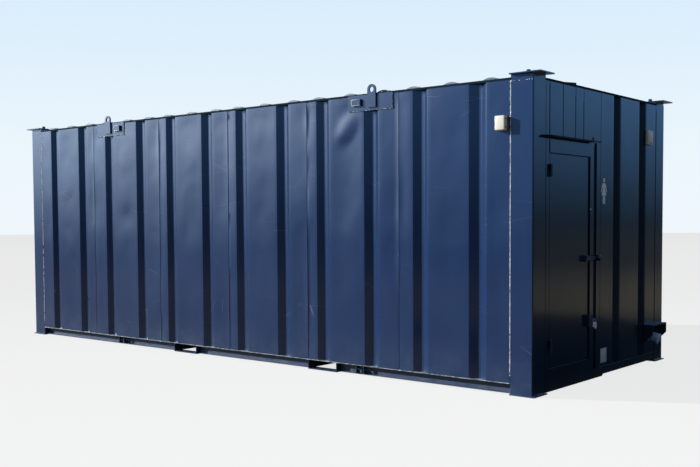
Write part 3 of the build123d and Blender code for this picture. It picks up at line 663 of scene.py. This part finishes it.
# %% A helper for small hard pieces
class Forging:
    """Closed solids gathered in one mesh."""

    def __init__(self):
        self.mesh = bmesh.new()

    def keep(self, made, place=None):
        """Take a finished little mesh over, moved by a matrix."""
        bmesh.ops.recalc_face_normals(made, faces=made.faces)
        held = bpy.data.meshes.new("held")
        made.to_mesh(held)
        made.free()
        if place is not None:
            held.transform(place)
        self.mesh.from_mesh(held)
        bpy.data.meshes.remove(held)
        return self

    def block(self, low, high, radius=0.001, steps=2, place=None):
        """A box between two corners, with rounded edges."""
        made = bmesh.new()
        bmesh.ops.create_cube(made, size=1.0)
        size = Vector(high) - Vector(low)
        made.transform(Matrix.Translation(Vector(low) + size / 2) @ Matrix.Diagonal((*size, 1.0)))
        bmesh.ops.bevel(made, geom=made.edges[:], offset=radius, segments=steps, affect="EDGES", profile=0.5)
        return self.keep(made, place)

    def joined(self, made, first, second):
        """A band of faces between two loops of points."""
        for step in range(len(first)):
            after = (step + 1) % len(first)
            made.faces.new((first[step], first[after], second[after], second[step]))

    def turned(self, profile, place, sides=28):
        """A solid of revolution about local Z, from (radius, along) points."""
        made = bmesh.new()
        rings = []
        for radius, along in profile:
            angles = [2 * pi * step / sides for step in range(sides)]
            rings.append([made.verts.new((radius * cos(a), radius * sin(a), along)) for a in angles])
        for first, second in zip(rings, rings[1:]):
            self.joined(made, first, second)
        made.faces.new(rings[0][::-1])
        made.faces.new(rings[-1])
        return self.keep(made, place)

    def rod(self, start, end, radius, sides=12):
        """A round bar between two places, its ends slightly chamfered."""
        run = Vector(end) - Vector(start)
        place = Matrix.Translation(start) @ run.to_track_quat("Z", "Y").to_matrix().to_4x4()
        chamfer = min(radius * 0.3, run.length * 0.2)
        profile = [(radius - chamfer, 0), (radius, chamfer), (radius, run.length - chamfer)]
        return self.turned(profile + [(radius - chamfer, run.length)], place, sides)

    def ring(self, radius, wire, place, sides=28, around=8):
        """A closed wire ring in local XY."""
        made = bmesh.new()
        loops = []
        for step in range(sides):
            turn_angle = 2 * pi * step / sides
            loop = []
            for part in range(around):
                lean = 2 * pi * part / around
                reach = radius + wire * cos(lean)
                loop.append(made.verts.new((reach * cos(turn_angle), reach * sin(turn_angle), wire * sin(lean))))
            loops.append(loop)
        for first, second in zip(loops, loops[1:] + loops[:1]):
            self.joined(made, first, second)
        return self.keep(made, place)

    def drawn(self, corners, way, place):
        """A flat outline drawn out along a vector."""
        made = bmesh.new()
        face = made.faces.new([made.verts.new(corner) for corner in corners])
        raised = bmesh.ops.extrude_face_region(made, geom=[face])["geom"]
        raised = [item for item in raised if isinstance(item, bmesh.types.BMVert)]
        bmesh.ops.translate(made, vec=way, verts=raised)
        return self.keep(made, place)

    def slab(self, outline, thickness, place=None):
        """A flat outline in local XY with a thickness towards local +Z."""
        return self.drawn([(x, y, 0.0) for x, y in outline], (0, 0, thickness), place)

    def bar(self, profile, start, end, place=None):
        """A straight bar: a (y, z) outline carried along X from start to end."""
        return self.drawn([(start, y, z) for y, z in profile], (end - start, 0, 0), place)

    def stand(self, name, material, body="cabin", slot="navy_paint"):
        """Put the gathered solids in the scene as one piece."""
        mesh = bpy.data.meshes.new(name)
        self.mesh.to_mesh(mesh)
        self.mesh.free()
        mesh.shade_smooth()
        mesh.set_sharp_from_angle(angle=radians(40))
        mesh.materials.append(material)
        piece = linked(name, mesh)
        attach(piece, body)
        print(name, len(mesh.polygons), "faces")
        return piece


def side_place(turn_angle, reach):
    """A wall's own frame: X along it, -Y out of it, its face at y 0."""
    to_side = Matrix.Rotation(turn_angle, 4, "Z") @ Matrix.Translation((0, -reach, 0))
    return Matrix.Translation((middle_x, middle_y, 0)) @ to_side


def end_place(y, z, out=0.0):
    """The door end's frame: local X along the wall, local Y up, local Z out of it."""
    frame_turn = Matrix(((0, 0, 1), (1, 0, 0), (0, 1, 0))).to_4x4()
    return Matrix.Translation(end_point(y, z, out)) @ frame_turn


sides = {
    "front": (side_place(0.0, half_width), half_length - post_width),
    "back": (side_place(pi, half_width), half_length - post_width),
    "door_end": (side_place(pi / 2, half_length), half_width - post_width),
    "blank_end": (side_place(-pi / 2, half_length), half_width - post_width),
}
print("wall frames for", list(sides))

# %% [markdown]
# Along the top the roof's edge is a folded lip: a rounded nose, and under it a slope that never sees the sun.
# The lip's paint is matt and painted darker, as painted shade, so it reads as a dark line. Along the bottom
# the sheets stand on the rail's flange, whose edge is a pale line of wear and painted highlight. Both run
# between the posts as straight bars of one section.

# %% Roof lip and skirt edge
lip_out = 0.008
lip_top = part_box("roof_edge")[1].z
seam_top = lip_top - 0.03
lip_profile = [
    (0.002, lip_top - 0.022), (-lip_out, lip_top - 0.008), (-lip_out, lip_top - 0.001), (0.002, lip_top + 0.001),
]
# The skirt edge is a pale bar: a worn edge with a painted highlight on it.
skirt_profile = [
    (0.046, sheet_bottom - 0.007), (-0.004, sheet_bottom - 0.007), (-0.006, sheet_bottom - 0.005),
    (-0.006, sheet_bottom - 0.001), (-0.005, sheet_bottom), (0.046, sheet_bottom),
]
roof_lip = Forging()
skirt_edge = Forging()
for label, (place, reach) in sides.items():
    roof_lip.bar(lip_profile, -reach, reach, place)
    if label != "door_end":
        skirt_edge.bar(skirt_profile, -reach, reach, place)
roof_lip.stand("roof_lip", lip_shade_paint)
skirt_edge.stand("skirt_edge", worn_edge_and_highlight)

# %% [markdown]
# The long rails are channels that stand a little back from the walls, so the low sun still reaches the lower
# half of their webs. Each is cut where a fork pocket passes through.

# %% Long rails
def channel(toe, back, thickness, low, high):
    """A channel's (y, z) section, with its web at back and its flanges' toes at toe."""
    web_outer = back + (thickness if back > toe else -thickness)
    return [
        (toe, low), (web_outer, low), (web_outer, high), (toe, high), (toe, high - flange_thickness),
        (back, high - flange_thickness), (back, low + flange_thickness), (toe, low + flange_thickness),
    ]


rail_low, rail_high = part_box("side_rail_front")
rail_gap = 0.001
flange_thickness = 0.007
pocket_centres = (-0.676, 1.356)
pocket_width = 0.3555
pocket_rim = 0.008
pocket_reach = pocket_width / 2 + pocket_rim
rail_profile = channel(0.022, 0.062, 0.006, rail_low.z, rail_high.z - rail_gap)
cuts = [-half_length + post_width]
for centre in pocket_centres:
    cuts += [centre - pocket_reach, centre + pocket_reach]
cuts.append(half_length - post_width)
for label, side_sign in (("front", 1), ("back", -1)):
    node = "side_rail_" + label
    rail = Forging()
    for start, end in zip(cuts[::2], cuts[1::2]):
        low_x, high_x = sorted((start * side_sign, end * side_sign))
        rail.bar(rail_profile, low_x, high_x, sides[label][0])
    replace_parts(rail.stand(node + "_channel", rail_paint, slot="base_paint"), node)

# %% [markdown]
# On the door end the rail is turned round: its web is flush with the wall, from the sill to the far post, so
# that the face runs down in one plane, with only a fine painted highlight line where the sheet ends. Past the
# sill it is a little shallower.

# %% Rail of the door end
place, reach = sides["door_end"]
end_low, end_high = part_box("end_rail_door")
sill_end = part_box("door_sill")[1].y - middle_y
sill_setback = 0.030
behind_sill = Matrix.Translation((-sill_setback, 0, 0)) @ place
step_up = 0.016
end_rail = Forging()
for bottom, start, end, rail_place in (
    (end_low.z, -reach, sill_end - rail_gap, behind_sill),
    (end_low.z + step_up, sill_end + rail_gap, reach, place),
):
    profile = channel(0.065, 0.010, 0.007, bottom, end_high.z - rail_gap)
    end_rail.bar(profile, start, end, rail_place)
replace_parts(end_rail.stand("end_rail_door_channel", post_paint, slot="base_paint"), "end_rail_door")
# A fine painted highlight line where the door end's sheet ends.
line_profile = [(0.004, 0.0965), (-0.0012, 0.0970), (-0.0012, 0.0995), (0.004, 0.1000)]
Forging().bar(line_profile, panel_end_y - middle_y, reach, place).stand("end_skirt_line", edge_glint)

# %% [markdown]
# Welds are rows of small beads that follow an edge. The script only gives the edges as lines. A tree sets
# points along them, drops a share of the points so that the row breaks as real tack welds do, and stands a
# squashed bead on each, turned along the line, with its size from seeded random values.

# %% Geometry Nodes for weld beads
weld_tree = ShapeBench("weld_beads", Spacing=0.018, Bead=0.004, Kept=0.8, Seed=5, Paint=None)
g = weld_tree.given
curve = weld_tree.wire("GeometryNodeMeshToCurve", None, {0: g["Geometry"]})
spots = weld_tree.add("GeometryNodeCurveToPoints", {"mode": "LENGTH"}, {"Curve": curve, "Length": g["Spacing"]})
kept = weld_tree.add(
    "FunctionNodeRandomValue", {"data_type": "BOOLEAN"}, {"Probability": g["Kept"], "Seed": g["Seed"]}
)
shape = weld_tree.add(
    "FunctionNodeRandomValue",
    {"data_type": "FLOAT_VECTOR"},
    {0: (0.5, 0.5, 0.9), 1: (0.9, 0.9, 2.4), "Seed": g["Seed"]},
)
bead = weld_tree.wire("GeometryNodeMeshIcoSphere", None, {"Radius": g["Bead"], "Subdivisions": 2})
beads = weld_tree.wire("GeometryNodeInstanceOnPoints", None, {
    "Points": spots.outputs["Points"],
    "Selection": kept.outputs["Value"] if kept.outputs["Value"].enabled else kept.outputs[3],
    "Instance": bead,
    "Rotation": spots.outputs["Rotation"],
    "Scale": shape.outputs[0],
})
weld_tree.close(beads, g["Paint"])


def welds(name, lines, material, **values):
    """Beads along each (start, end) line."""
    base = bpy.data.meshes.new(name + "_lines")
    points = [place for line in lines for place in line]
    base.from_pydata(points, [(2 * i, 2 * i + 1) for i in range(len(lines))], [])
    values["Paint"] = material
    piece = grown(name, base, weld_tree.tree, values, "cabin")
    piece.data.shade_smooth()
    print(name, len(piece.data.polygons), "faces")


def upright(place, x, depth, low, high):
    """The two ends of an upright line on a wall."""
    return place @ Vector((x, depth, low)), place @ Vector((x, depth, high))


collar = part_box("corner_post_front_door")[1].z - 0.025
speck_reach = (0.15, 2.58)
seam_lines = []
collar_lines = []
speck_lines = []
for label in ("front", "back"):
    place, reach = sides[label]
    for end in (-1, 1):
        seam_lines.append(upright(place, end * (reach + 0.001), 0.003, sheet_bottom + 0.05, seam_top))
        across_post = (end * (reach + 0.012), end * (reach + post_width - 0.012))
        collar_lines.append([place @ Vector((x, -0.0005, collar)) for x in across_post])
    speck_lines += [upright(place, lap + 0.001, 0.0, *speck_reach) for lap in long_laps]
    speck_lines += [upright(place, centre + 0.085, -0.0005, *speck_reach) for centre in groove_centres]
welds("seam_welds", seam_lines, weld_bright, Spacing=0.016, Bead=0.0080, Kept=0.86, Seed=5)
welds("collar_welds", collar_lines, weld_bright, Spacing=0.021, Bead=0.0048, Kept=0.90, Seed=3)
welds("worn_specks", speck_lines, chipped_paint, Spacing=0.055, Bead=0.0022, Kept=0.10, Seed=9)

# %% [markdown]
# The lifting plates are welded on all round, and their lugs have pale rims on the top, bottom and left: worn
# paint where chains rub, and painted highlight on the sides the sun reaches. The plates' and lugs' places are
# read off the frame's mesh: the lugs are what stands out furthest.

# %% Worn lifting plates, with painted highlight on the lugs
def span_of(points, axis):
    """The least and the most of some points along an axis."""
    return min(p[axis] for p in points), max(p[axis] for p in points)


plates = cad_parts["lifting_plates"].data
plate_out = 0.0085
lug_out = 0.020
rim = 0.007
rub_lines = []
lug_rim_highlight = Forging()
for end in (-1, 1):
    for outward, face_y in ((-1, front_y), (1, back_y)):
        near = [v.co for v in plates.vertices if (v.co.x - middle_x) * end > 0]
        near = [p for p in near if (p.y - face_y) * outward > 0.0001]
        plate_x, bottom = span_of(near, 0), span_of(near, 2)[0]
        plate_y = face_y + outward * plate_out
        rub_lines.append([(x, plate_y, bottom) for x in plate_x])
        rub_lines += [((x, plate_y, bottom), (x, plate_y, seam_top)) for x in plate_x]
        if outward < 0:
            lug = [p for p in near if face_y - p.y > lug_out]
            (left, right), (low, high) = span_of(lug, 0), span_of(lug, 2)
            lug_y = span_of(lug, 1)[0]
            # Rims on the top, bottom and left of each lug: worn paint and painted highlight.
            edges = (left, high - rim, right, high), (left, low, right, low + rim), (left, low, left + rim, high)
            for start_x, start_z, stop_x, stop_z in edges:
                lug_rim_highlight.block((start_x, lug_y - 0.0015, start_z), (stop_x, lug_y + 0.004, stop_z), 0.0012)
lug_rim_highlight.stand("lug_rims_wear_and_highlight", worn_edge_and_highlight)
welds("plate_welds", rub_lines, weld_worn, Spacing=0.014, Bead=0.0038, Kept=0.62, Seed=12)

# %% [markdown]
# The door end carries most of the small trim: a sealed seam where the flat panel meets the pressed sheet, the
# dark joints of the header's sheets with painted shade in the door's gaps, the drip strip with its near end
# cut to a taper and a painted reflection in its tone, a bent tab of the roof sheet over the header in the
# lip's painted shade, a painted highlight along the sill's edge, a blank plate with four rivets, and a sign.
# The sign is the common figure of a woman, cut from pale vinyl.

# %% Trim of the door end
def end_block(forging, y, z, out, radius, steps=2):
    """A block on the door end from pairs: y from the front wall's face, z, and how far it stands out."""
    low, high = (Vector((door_x + out[i], front_y + y[i], z[i])) for i in (0, 1))
    return forging.block(low, high, radius, steps)


seam_y = panel_end_y - front_y
seam_out = (-0.004, 0.0012)
seam = end_block(Forging(), (seam_y - 0.003, seam_y + 0.003), (sheet_bottom, lip_top - 0.02), seam_out, 0.001)
seam.stand("panel_seam", seal_rubber)

far_post = 2 * half_width - post_width
post_seams = Forging()
for y in (post_width, far_post):
    post_seams.rod(end_point(y, 0.22, -0.0005), end_point(y, seam_top, -0.0005), 0.0022, 8)
post_seams.stand("end_post_seams", post_paint)

# Dark joints of the header's sheets, and black strips in the door's gaps as painted shade.
joints_and_gap_shade = Forging()
for y, low_z, high_z, wide in (
    (0.276, 2.166, 2.585, 0.014), (0.512, 2.162, 2.600, 0.007), (0.746, 2.160, 2.535, 0.009),
    (0.902, 2.160, 2.500, 0.009), (0.2755, 2.014, 2.128, 0.018), (0.2785, 0.216, 2.012, 0.004),
    (1.128, 0.200, 2.120, 0.030), (far_post + 0.004, 0.10, 2.56, 0.018),
):
    joints_and_gap_shade.block((-wide / 2, 0, 0), (wide / 2, high_z - low_z, 0.0026), 0.0006, 1, end_place(y, low_z, -0.0018))
joints_and_gap_shade.stand("joint_seals_and_gap_shade", joint_and_gap_shade)

# The gutter's olive tone is partly a painted reflection of the ground.
drip_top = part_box("drip_strip")[1].z
drip_near, drip_full, drip_far = 0.138, 0.205, 1.134
drip_outline = [(drip_near, 0.0), (drip_near, 0.017), (drip_full, 0.063), (drip_far, 0.063), (drip_far, 0.0)]
lying = Matrix(((0, 1, 0), (1, 0, 0), (0, 0, 1))).to_4x4()
drip = Forging()
drip.slab(drip_outline, 0.003, Matrix.Translation((door_x, front_y, drip_top - 0.003)) @ lying)
end_block(drip, (drip_full, drip_far), (drip_top - 0.013, drip_top - 0.001), (0.0598, 0.0628), 0.0006)
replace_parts(drip.stand("drip_gutter", gutter_paint_and_reflection), "drip_strip")

# The tab has the lip's paint, darkened as painted shade.
tab_outline = [(0.0, 0.0), (0.235, 0.0), (0.235, 0.039), (0.0, 0.021)]
tab_place = end_place(0.520, lip_top - 0.020, -0.001)
Forging().slab(tab_outline, 0.0015, tab_place).stand("roof_sheet_tab", lip_shade_paint)

rod_foot, rod_top = end_point(1.095, 2.160, 0.004), end_point(1.095, 2.197, 0.004)
Forging().rod(rod_foot, rod_top, 0.004).stand("drip_rod", post_paint)

# A painted highlight along the sill's edge.
sill_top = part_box("door_sill")[1].z
edge_z = (sill_top - 0.003, sill_top - 0.0005)
end_block(Forging(), (0.284, 0.986), edge_z, (-0.001, 0.0016), 0.0007).stand("sill_painted_glint", edge_glint)

# %% Sign and plate
def disc(radius, centre, count=28):
    """An outline round a centre."""
    angles = [2 * pi * step / count for step in range(count)]
    return [(centre[0] + radius * cos(a), centre[1] + radius * sin(a)) for a in angles]


def both_ways(outline):
    """An outline and its mirror image about x 0."""
    return [outline, [(-x, y) for x, y in reversed(outline)]]


figure = Forging()
figure_place = end_place(1.322, 1.602, -0.0015)
figure_depth = 0.0036
shapes = [disc(0.0205, (0, 0.2165))]
shapes.append([
    (-0.026, 0.188), (0.026, 0.188), (0.032, 0.182), (0.022, 0.140), (0.049, 0.078), (-0.049, 0.078),
    (-0.022, 0.140), (-0.032, 0.182),
])
shapes += both_ways([(0.030, 0.184), (0.038, 0.180), (0.062, 0.110), (0.054, 0.106), (0.026, 0.168)])
shapes += both_ways([(0.003, 0.080), (0.022, 0.080), (0.022, 0.000), (0.003, 0.000)])
for outline in shapes:
    figure.slab(outline, figure_depth, figure_place)
figure.stand("woman_sign", sign_vinyl)

label_y, label_z = 1.275, 0.133
plate_corner = end_place(label_y, label_z, -0.0010)
Forging().block((0, 0, 0), (0.125, 0.134, 0.0030), 0.0008, 2, plate_corner).stand("blank_plate", plate_finish)
rims = Forging()
for low, high in (
    ((0.008, 0.008), (0.117, 0.0105)), ((0.008, 0.1235), (0.117, 0.126)),
    ((0.008, 0.008), (0.0105, 0.126)), ((0.1145, 0.008), (0.117, 0.126)), ((0.016, 0.062), (0.109, 0.0635)),
):
    rims.block((*low, 0.0020), (*high, 0.0034), 0.0004, 1, plate_corner)
rims.stand("blank_plate_rim", plate_rim)

# %% [markdown]
# Screws and rivets are one small domed head, stood on a list of places that each say which way they face.

# %% Geometry Nodes for screw heads
screw_tree = ShapeBench("screw_heads", Radius=0.005, Depth=0.003, Sides=12, Paint=None)
g = screw_tree.given
head = screw_tree.wire("GeometryNodeMeshCone", None, {
    "Vertices": g["Sides"], "Radius Top": g["Radius"] * 0.7, "Radius Bottom": g["Radius"], "Depth": g["Depth"],
})
facing = screw_tree.named("FLOAT_VECTOR", "facing")
lean = screw_tree.wire("FunctionNodeAlignRotationToVector", {"axis": "Z"}, {"Vector": facing})
heads = screw_tree.wire(
    "GeometryNodeInstanceOnPoints", None, {"Points": g["Geometry"], "Instance": head, "Rotation": lean}
)
screw_tree.close(heads, g["Paint"])


def screws(name, places, material, body="cabin", slot="black_steel", facing_way=(1.0, 0.0, 0.0), **values):
    """Heads at places, all facing one way, which is out of the door end unless another is given."""
    base = bpy.data.meshes.new(name + "_places")
    base.from_pydata([tuple(place) for place in places], [], [])
    way = base.attributes.new("facing", "FLOAT_VECTOR", "POINT")
    way.data.foreach_set("vector", list(facing_way) * len(places))
    values["Paint"] = material
    piece = grown(name, base, screw_tree.tree, values, body)
    print(name, len(piece.data.polygons), "faces")


hinge_centres = (0.396, 1.870)
screw_steps = (-0.038, 0.0, 0.038)
hinge_heights = [centre + step for centre, step in product(hinge_centres, screw_steps)]
hinge_screw = {"Radius": 0.0045, "Depth": 0.002}
fixed_screws = [end_point(0.256, z, 0.0048) for z in hinge_heights]
moving_screws = [end_point(0.310, z, -0.0072) for z in hinge_heights]
screws("hinge_screws_fixed", fixed_screws, black_paint, **hinge_screw)
screws("hinge_screws_moving", moving_screws, black_paint, "door", **hinge_screw)
plate_rivets = [end_point(label_y + y, label_z + z, 0.0018) for y, z in product((0.006, 0.119), (0.006, 0.128))]
screws("plate_rivets", plate_rivets, bright_zinc, Radius=0.0028, Depth=0.0015)
bolt_place = [end_point(1.050, 1.551, -0.0005)]
screws("frame_bolt", bolt_place, bright_zinc, Radius=0.0085, Depth=0.006, Sides=6)

# %% [markdown]
# Two lamps. On the front wall a moulded cream box on a gasket, with two screw bosses on its right side, and
# on the door end a flatter one in a beige frame. Both are small mouldings with well rounded edges.

# %% Lamps
low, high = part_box("front_lamp")
lamp = Forging().block(low + Vector((0.001, 0, 0.001)), high - Vector((0.005, 0.013, 0.001)), 0.011, 4)
lamp_cover = lamp.stand("front_lamp_cover", cream_plastic, slot="lamp_cream")
base = Forging().block((low.x, high.y - 0.010, low.z), high + Vector((-0.003, 0.001, 0)), 0.003, 3)
for z in (low.z + 0.026, high.z - 0.026):
    base.rod((high.x - 0.0055, low.y + 0.010, z), (high.x - 0.0055, high.y, z), 0.0055)
base.stand("front_lamp_base", lamp_back, slot="lamp_cream")
gasket_low = (low.x + 0.003, high.y - 0.014, low.z + 0.003)
gasket = Forging().block(gasket_low, high - Vector((0.007, 0.009, 0.003)), 0.001)
gasket.stand("front_lamp_gasket", seal_rubber, slot="lamp_cream")
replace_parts(lamp_cover, "front_lamp")

low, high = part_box("end_lamp")
low = low - Vector((0, 0.006, 0.005))
high = high + Vector((0, 0.005, 0.006))
lamp = Forging().block((low.x - 0.001, low.y, low.z), (low.x + 0.026, high.y, high.z), 0.007, 4)
end_frame = lamp.stand("end_lamp_frame", beige_plastic, slot="lamp_cream")
lens = Forging().block(low + Vector((0.010, 0.016, 0.018)), high - Vector((0, 0.016, 0.018)), 0.008, 4)
for step in range(4):
    z = low.z + 0.036 + step * 0.021
    lens.block((high.x - 0.004, low.y + 0.022, z), (high.x - 0.0004, high.y - 0.022, z + 0.003), 0.001)
lens.stand("end_lamp_lens", beige_lens, slot="lamp_cream")
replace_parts(end_frame, "end_lamp")
corner_in = 0.009
lamp_corners = [
    (low.x + 0.0255, y, z)
    for y, z in product((low.y + corner_in, high.y - corner_in), (low.z + corner_in, high.z - corner_in))
]
screws("end_lamp_screws", lamp_corners, bright_zinc, slot="lamp_cream", Radius=0.0035, Depth=0.0015)

# %% [markdown]
# The power inlet under its hood is a turned plastic body that leans down, with a flange, grip ribs, a rim
# and a spring lid. It is turned about its own axis and then stood at its lean.

# %% Power inlet
socket_low, socket_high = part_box("inlet_socket")
socket_y = (socket_low.y + socket_high.y) / 2
socket_height = 0.292
socket_place = Vector((socket_low.x, socket_y, socket_height))
lean_down = radians(20)
flange_corner = Vector((0, 0.054, 0.054))
inlet_place = Matrix.Translation(socket_place) @ Matrix.Rotation(pi / 2 + lean_down, 4, "Y")
inlet = Forging()
inlet.block(socket_place - flange_corner, socket_place + flange_corner + Vector((0.016, 0, 0)), 0.008, 3)
inlet.turned([
    (0.036, 0.010), (0.039, 0.012), (0.039, 0.040), (0.044, 0.043), (0.044, 0.093), (0.050, 0.097), (0.0525, 0.100),
    (0.0525, 0.109), (0.050, 0.112), (0.046, 0.112), (0.045, 0.108),
], inlet_place, 40)
for step in range(16):
    angle = 2 * pi * step / 16
    rib = inlet_place @ Matrix.Rotation(angle, 4, "Z")
    inlet.block((0.0425, -0.0022, 0.048), (0.0462, 0.0022, 0.092), 0.0008, 1, rib)
inlet_body = inlet.stand("inlet_body", inlet_blue, slot="socket_blue")
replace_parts(inlet_body, "inlet_socket")
lid = Forging()
lid.turned([(0.0430, 0.106), (0.0430, 0.1105), (0.040, 0.1125), (0.014, 0.1138), (0.012, 0.1138)], inlet_place, 40)
lid.block((0.040, -0.012, 0.098), (0.052, 0.012, 0.1135), 0.002, 2, inlet_place @ Matrix.Rotation(pi, 4, "Z"))
lid.block((0.044, -0.008, 0.100), (0.0524, 0.008, 0.1145), 0.002, 2, inlet_place)
lid.stand("inlet_lid", inlet_pale, slot="socket_blue")
flange_corners = [socket_place + Vector((0.0155, y, z)) for y, z in product((-0.044, 0.044), repeat=2)]
screws("inlet_screws", flange_corners, bright_zinc, slot="socket_blue", Radius=0.0035, Depth=0.0015)

# %% [markdown]
# A key stands in the door lock, and from its ring hang a second key and three pale plastic tags. They ride
# on the door. Each is a thin slab with its own small turn, so that no two face the same way.

# %% Keys on the lock
def turned_place(place, *turns):
    """A place with turns after it, each an (angle, axis)."""
    matrix = Matrix.Translation(place)
    for angle, axis in turns:
        matrix = matrix @ Matrix.Rotation(angle, 4, axis)
    return matrix


upended = (pi / 2, "X")
lock_low, lock_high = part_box("door_lock")
key_at = Vector((lock_high.x, lock_low.y + 0.052, lock_high.z - 0.038))
half_shank = Vector((0.012, 0, 0))
keys = Forging().rod(key_at - half_shank, key_at + half_shank, 0.0035)
keys.slab(disc(0.0115, (0, 0), 20), 0.0022, turned_place(key_at + Vector((0.020, 0, -0.002)), upended))
ring_middle = key_at + Vector((0.026, 0.002, -0.016))
keys.ring(0.0135, 0.0011, turned_place(ring_middle, (0.5, "Z"), upended))
second = turned_place(ring_middle + Vector((0.002, 0.010, -0.012)), (0.9, "Z"), upended, (0.12, "Z"))
keys.slab(disc(0.0110, (0, -0.010), 20), 0.0022, second)
keys.slab([(-0.0035, -0.019), (0.0035, -0.019), (0.0035, -0.046), (0.0, -0.050), (-0.0035, -0.046)], 0.0020, second)
keys.stand("door_keys", bright_zinc, "door", "black_steel")
tags = Forging()
tag_side = [(0.006, 0.002), (0.012, -0.006), (0.013, -0.046), (0.009, -0.052)]
tag_outline = [(-x, y) for x, y in tag_side[1::-1]] + tag_side + [(-x, y) for x, y in tag_side[:1:-1]]
for shift, swing, sway in (
    ((0.004, 0.010, -0.008), 1.25, -0.55), ((-0.003, -0.012, -0.012), 0.95, 0.42),
    ((0.008, 0.006, -0.018), 1.4, -0.06),
):
    place = turned_place(ring_middle + Vector(shift), (swing, "Z"), upended, (sway, "Z"))
    tags.slab(tag_outline, 0.0026, place)
tags.stand("key_tags", key_tag, "door", "lining_board")

# %% [markdown]
# The light is one low sun from the left and a blue sky. The sun rakes along the front wall, so the left sides
# of its grooves fall into shade, and the end wall sees only the sky. The camera is shown a plain pale
# backdrop. Gloss paint is shown what stands round a yard on a clear day, which is what makes it look like
# gloss paint: blue sky above, a dark skyline, and the glare round the sun.

# %% Sun and sky
to_sun = Vector((-0.86, -0.44, 0.33)).normalized()
sun_data = bpy.data.lights.new("sun", "SUN")
sun_data.energy = 5.4
sun_data.angle = radians(0.8)
sun_data.color = (1.0, 0.97, 0.92)
sun = linked("sun", sun_data)
sun.rotation_euler = to_sun.to_track_quat("Z", "Y").to_euler()

world = bpy.data.worlds.new("pale_sky")
bpy.context.scene.world = world
sky = Bench(world)
direction = sky.add("ShaderNodeTexCoord").outputs["Generated"]
along_x, _, upward = sky.axes(direction)
near_sun = sky.wire(
    "ShaderNodeVectorMath", {"operation": "DOT_PRODUCT"}, {0: direction, 1: tuple(to_sun)}, "Value"
)

horizon_colour = (0.86, 0.93, 0.98, 1.0)
zenith_colour = (0.66, 0.83, 0.97, 1.0)
backdrop = sky.mix(upward.rise(0.0, 0.30), horizon_colour, zenith_colour)

skyline_colour = (0.028, 0.048, 0.06, 1.0)
haze_colour = (0.18, 0.26, 0.34, 1.0)
clear_blue = (0.19, 0.45, 0.92, 1.0)
glare_colour = (2.2, 3.0, 3.9, 1.0)
skyline_height = 0.13
skyline = sky.mix(along_x.rise(0.0, -0.7), skyline_colour, haze_colour)
mirrored = sky.mix(upward / skyline_height, skyline, clear_blue)
mirrored = sky.mix(near_sun.rise(0.84, 0.99) * upward.rise(-0.03, 0.15), mirrored, glare_colour)

ambient_colour = (0.15, 0.18, 0.22, 1.0)
path = sky.add("ShaderNodeLightPath").outputs
to_gloss = Wire(sky, path["Is Glossy Ray"]).most(Wire(sky, path["Is Transmission Ray"]))
shown = sky.mix(to_gloss, ambient_colour, mirrored)
shown = sky.mix(path["Is Camera Ray"], shown, backdrop)
back = sky.add("ShaderNodeBackground", None, {"Color": shown, "Strength": 1.0})
sky.add("ShaderNodeOutputWorld", None, {"Surface": back.outputs[0]})
print("sun", sun_data.energy, "from", [round(v, 2) for v in to_sun])

# %% [markdown]
# The floor is plain and pale to the camera and keeps the cabin's shadow. To the paint it is the packed earth of a
# yard, darker far off, with a painted shadow beyond the shaded door end, so that it doesn't throw a studio's
# white back into the navy.

# %% Floor
floor_size = 175.0
floor_mesh = bpy.data.meshes.new("pale_floor")
half = floor_size / 2
floor_mesh.from_pydata([(-half, -half, 0), (half, -half, 0), (half, half, 0), (-half, half, 0)], [], [(0, 1, 2, 3)])
floor = linked("pale_floor", floor_mesh)
floor_material = bpy.data.materials.new("pale_floor")
ground = Bench(floor_material)
to_camera = Wire(ground, ground.add("ShaderNodeLightPath").outputs["Is Camera Ray"])
across, deep, _ = ground.axes(ground.add("ShaderNodeTexCoord").outputs["Object"])
away = (across * across + deep * deep) ** 0.5
near_earth = (0.30, 0.27, 0.195, 1)
far_earth = (0.085, 0.09, 0.085, 1)
earth_painted_shadow = (0.05, 0.075, 0.11, 1)
pale_floor = (0.80, 0.80, 0.80, 1)
earth = ground.mix(away.rise(9.0, 26.0), near_earth, far_earth)
# A painted shadow on the earth beyond the door end, seen only in reflections.
earth = ground.mix(across.rise(3.4, 4.0) * (1 - away.rise(6.0, 9.5)), earth, earth_painted_shadow)
matt = ground.add("ShaderNodeBsdfDiffuse", None, {"Color": ground.mix(to_camera, earth, pale_floor)})
view_x, view_y = 0.63, 0.775
towards = across * view_x - deep * view_y
level = 0.84 + 0.03 * towards.rise(-70.0, -8.0) + 0.095 * towards.rise(-12.0, 9.0)
glow = ground.add("ShaderNodeEmission", None, {"Color": (1.0, 1.0, 1.0, 1), "Strength": level})
glow_share = 0.84
mixed = ground.add("ShaderNodeMixShader", None, {0: to_camera * glow_share, 1: matt.outputs[0], 2: glow.outputs[0]})
ground.add("ShaderNodeOutputMaterial", None, {"Surface": mixed.outputs[0]})
floor_mesh.materials.append(floor_material)
bpy.context.scene.view_settings.view_transform = "Standard"
print("floor", floor_size, "m across")
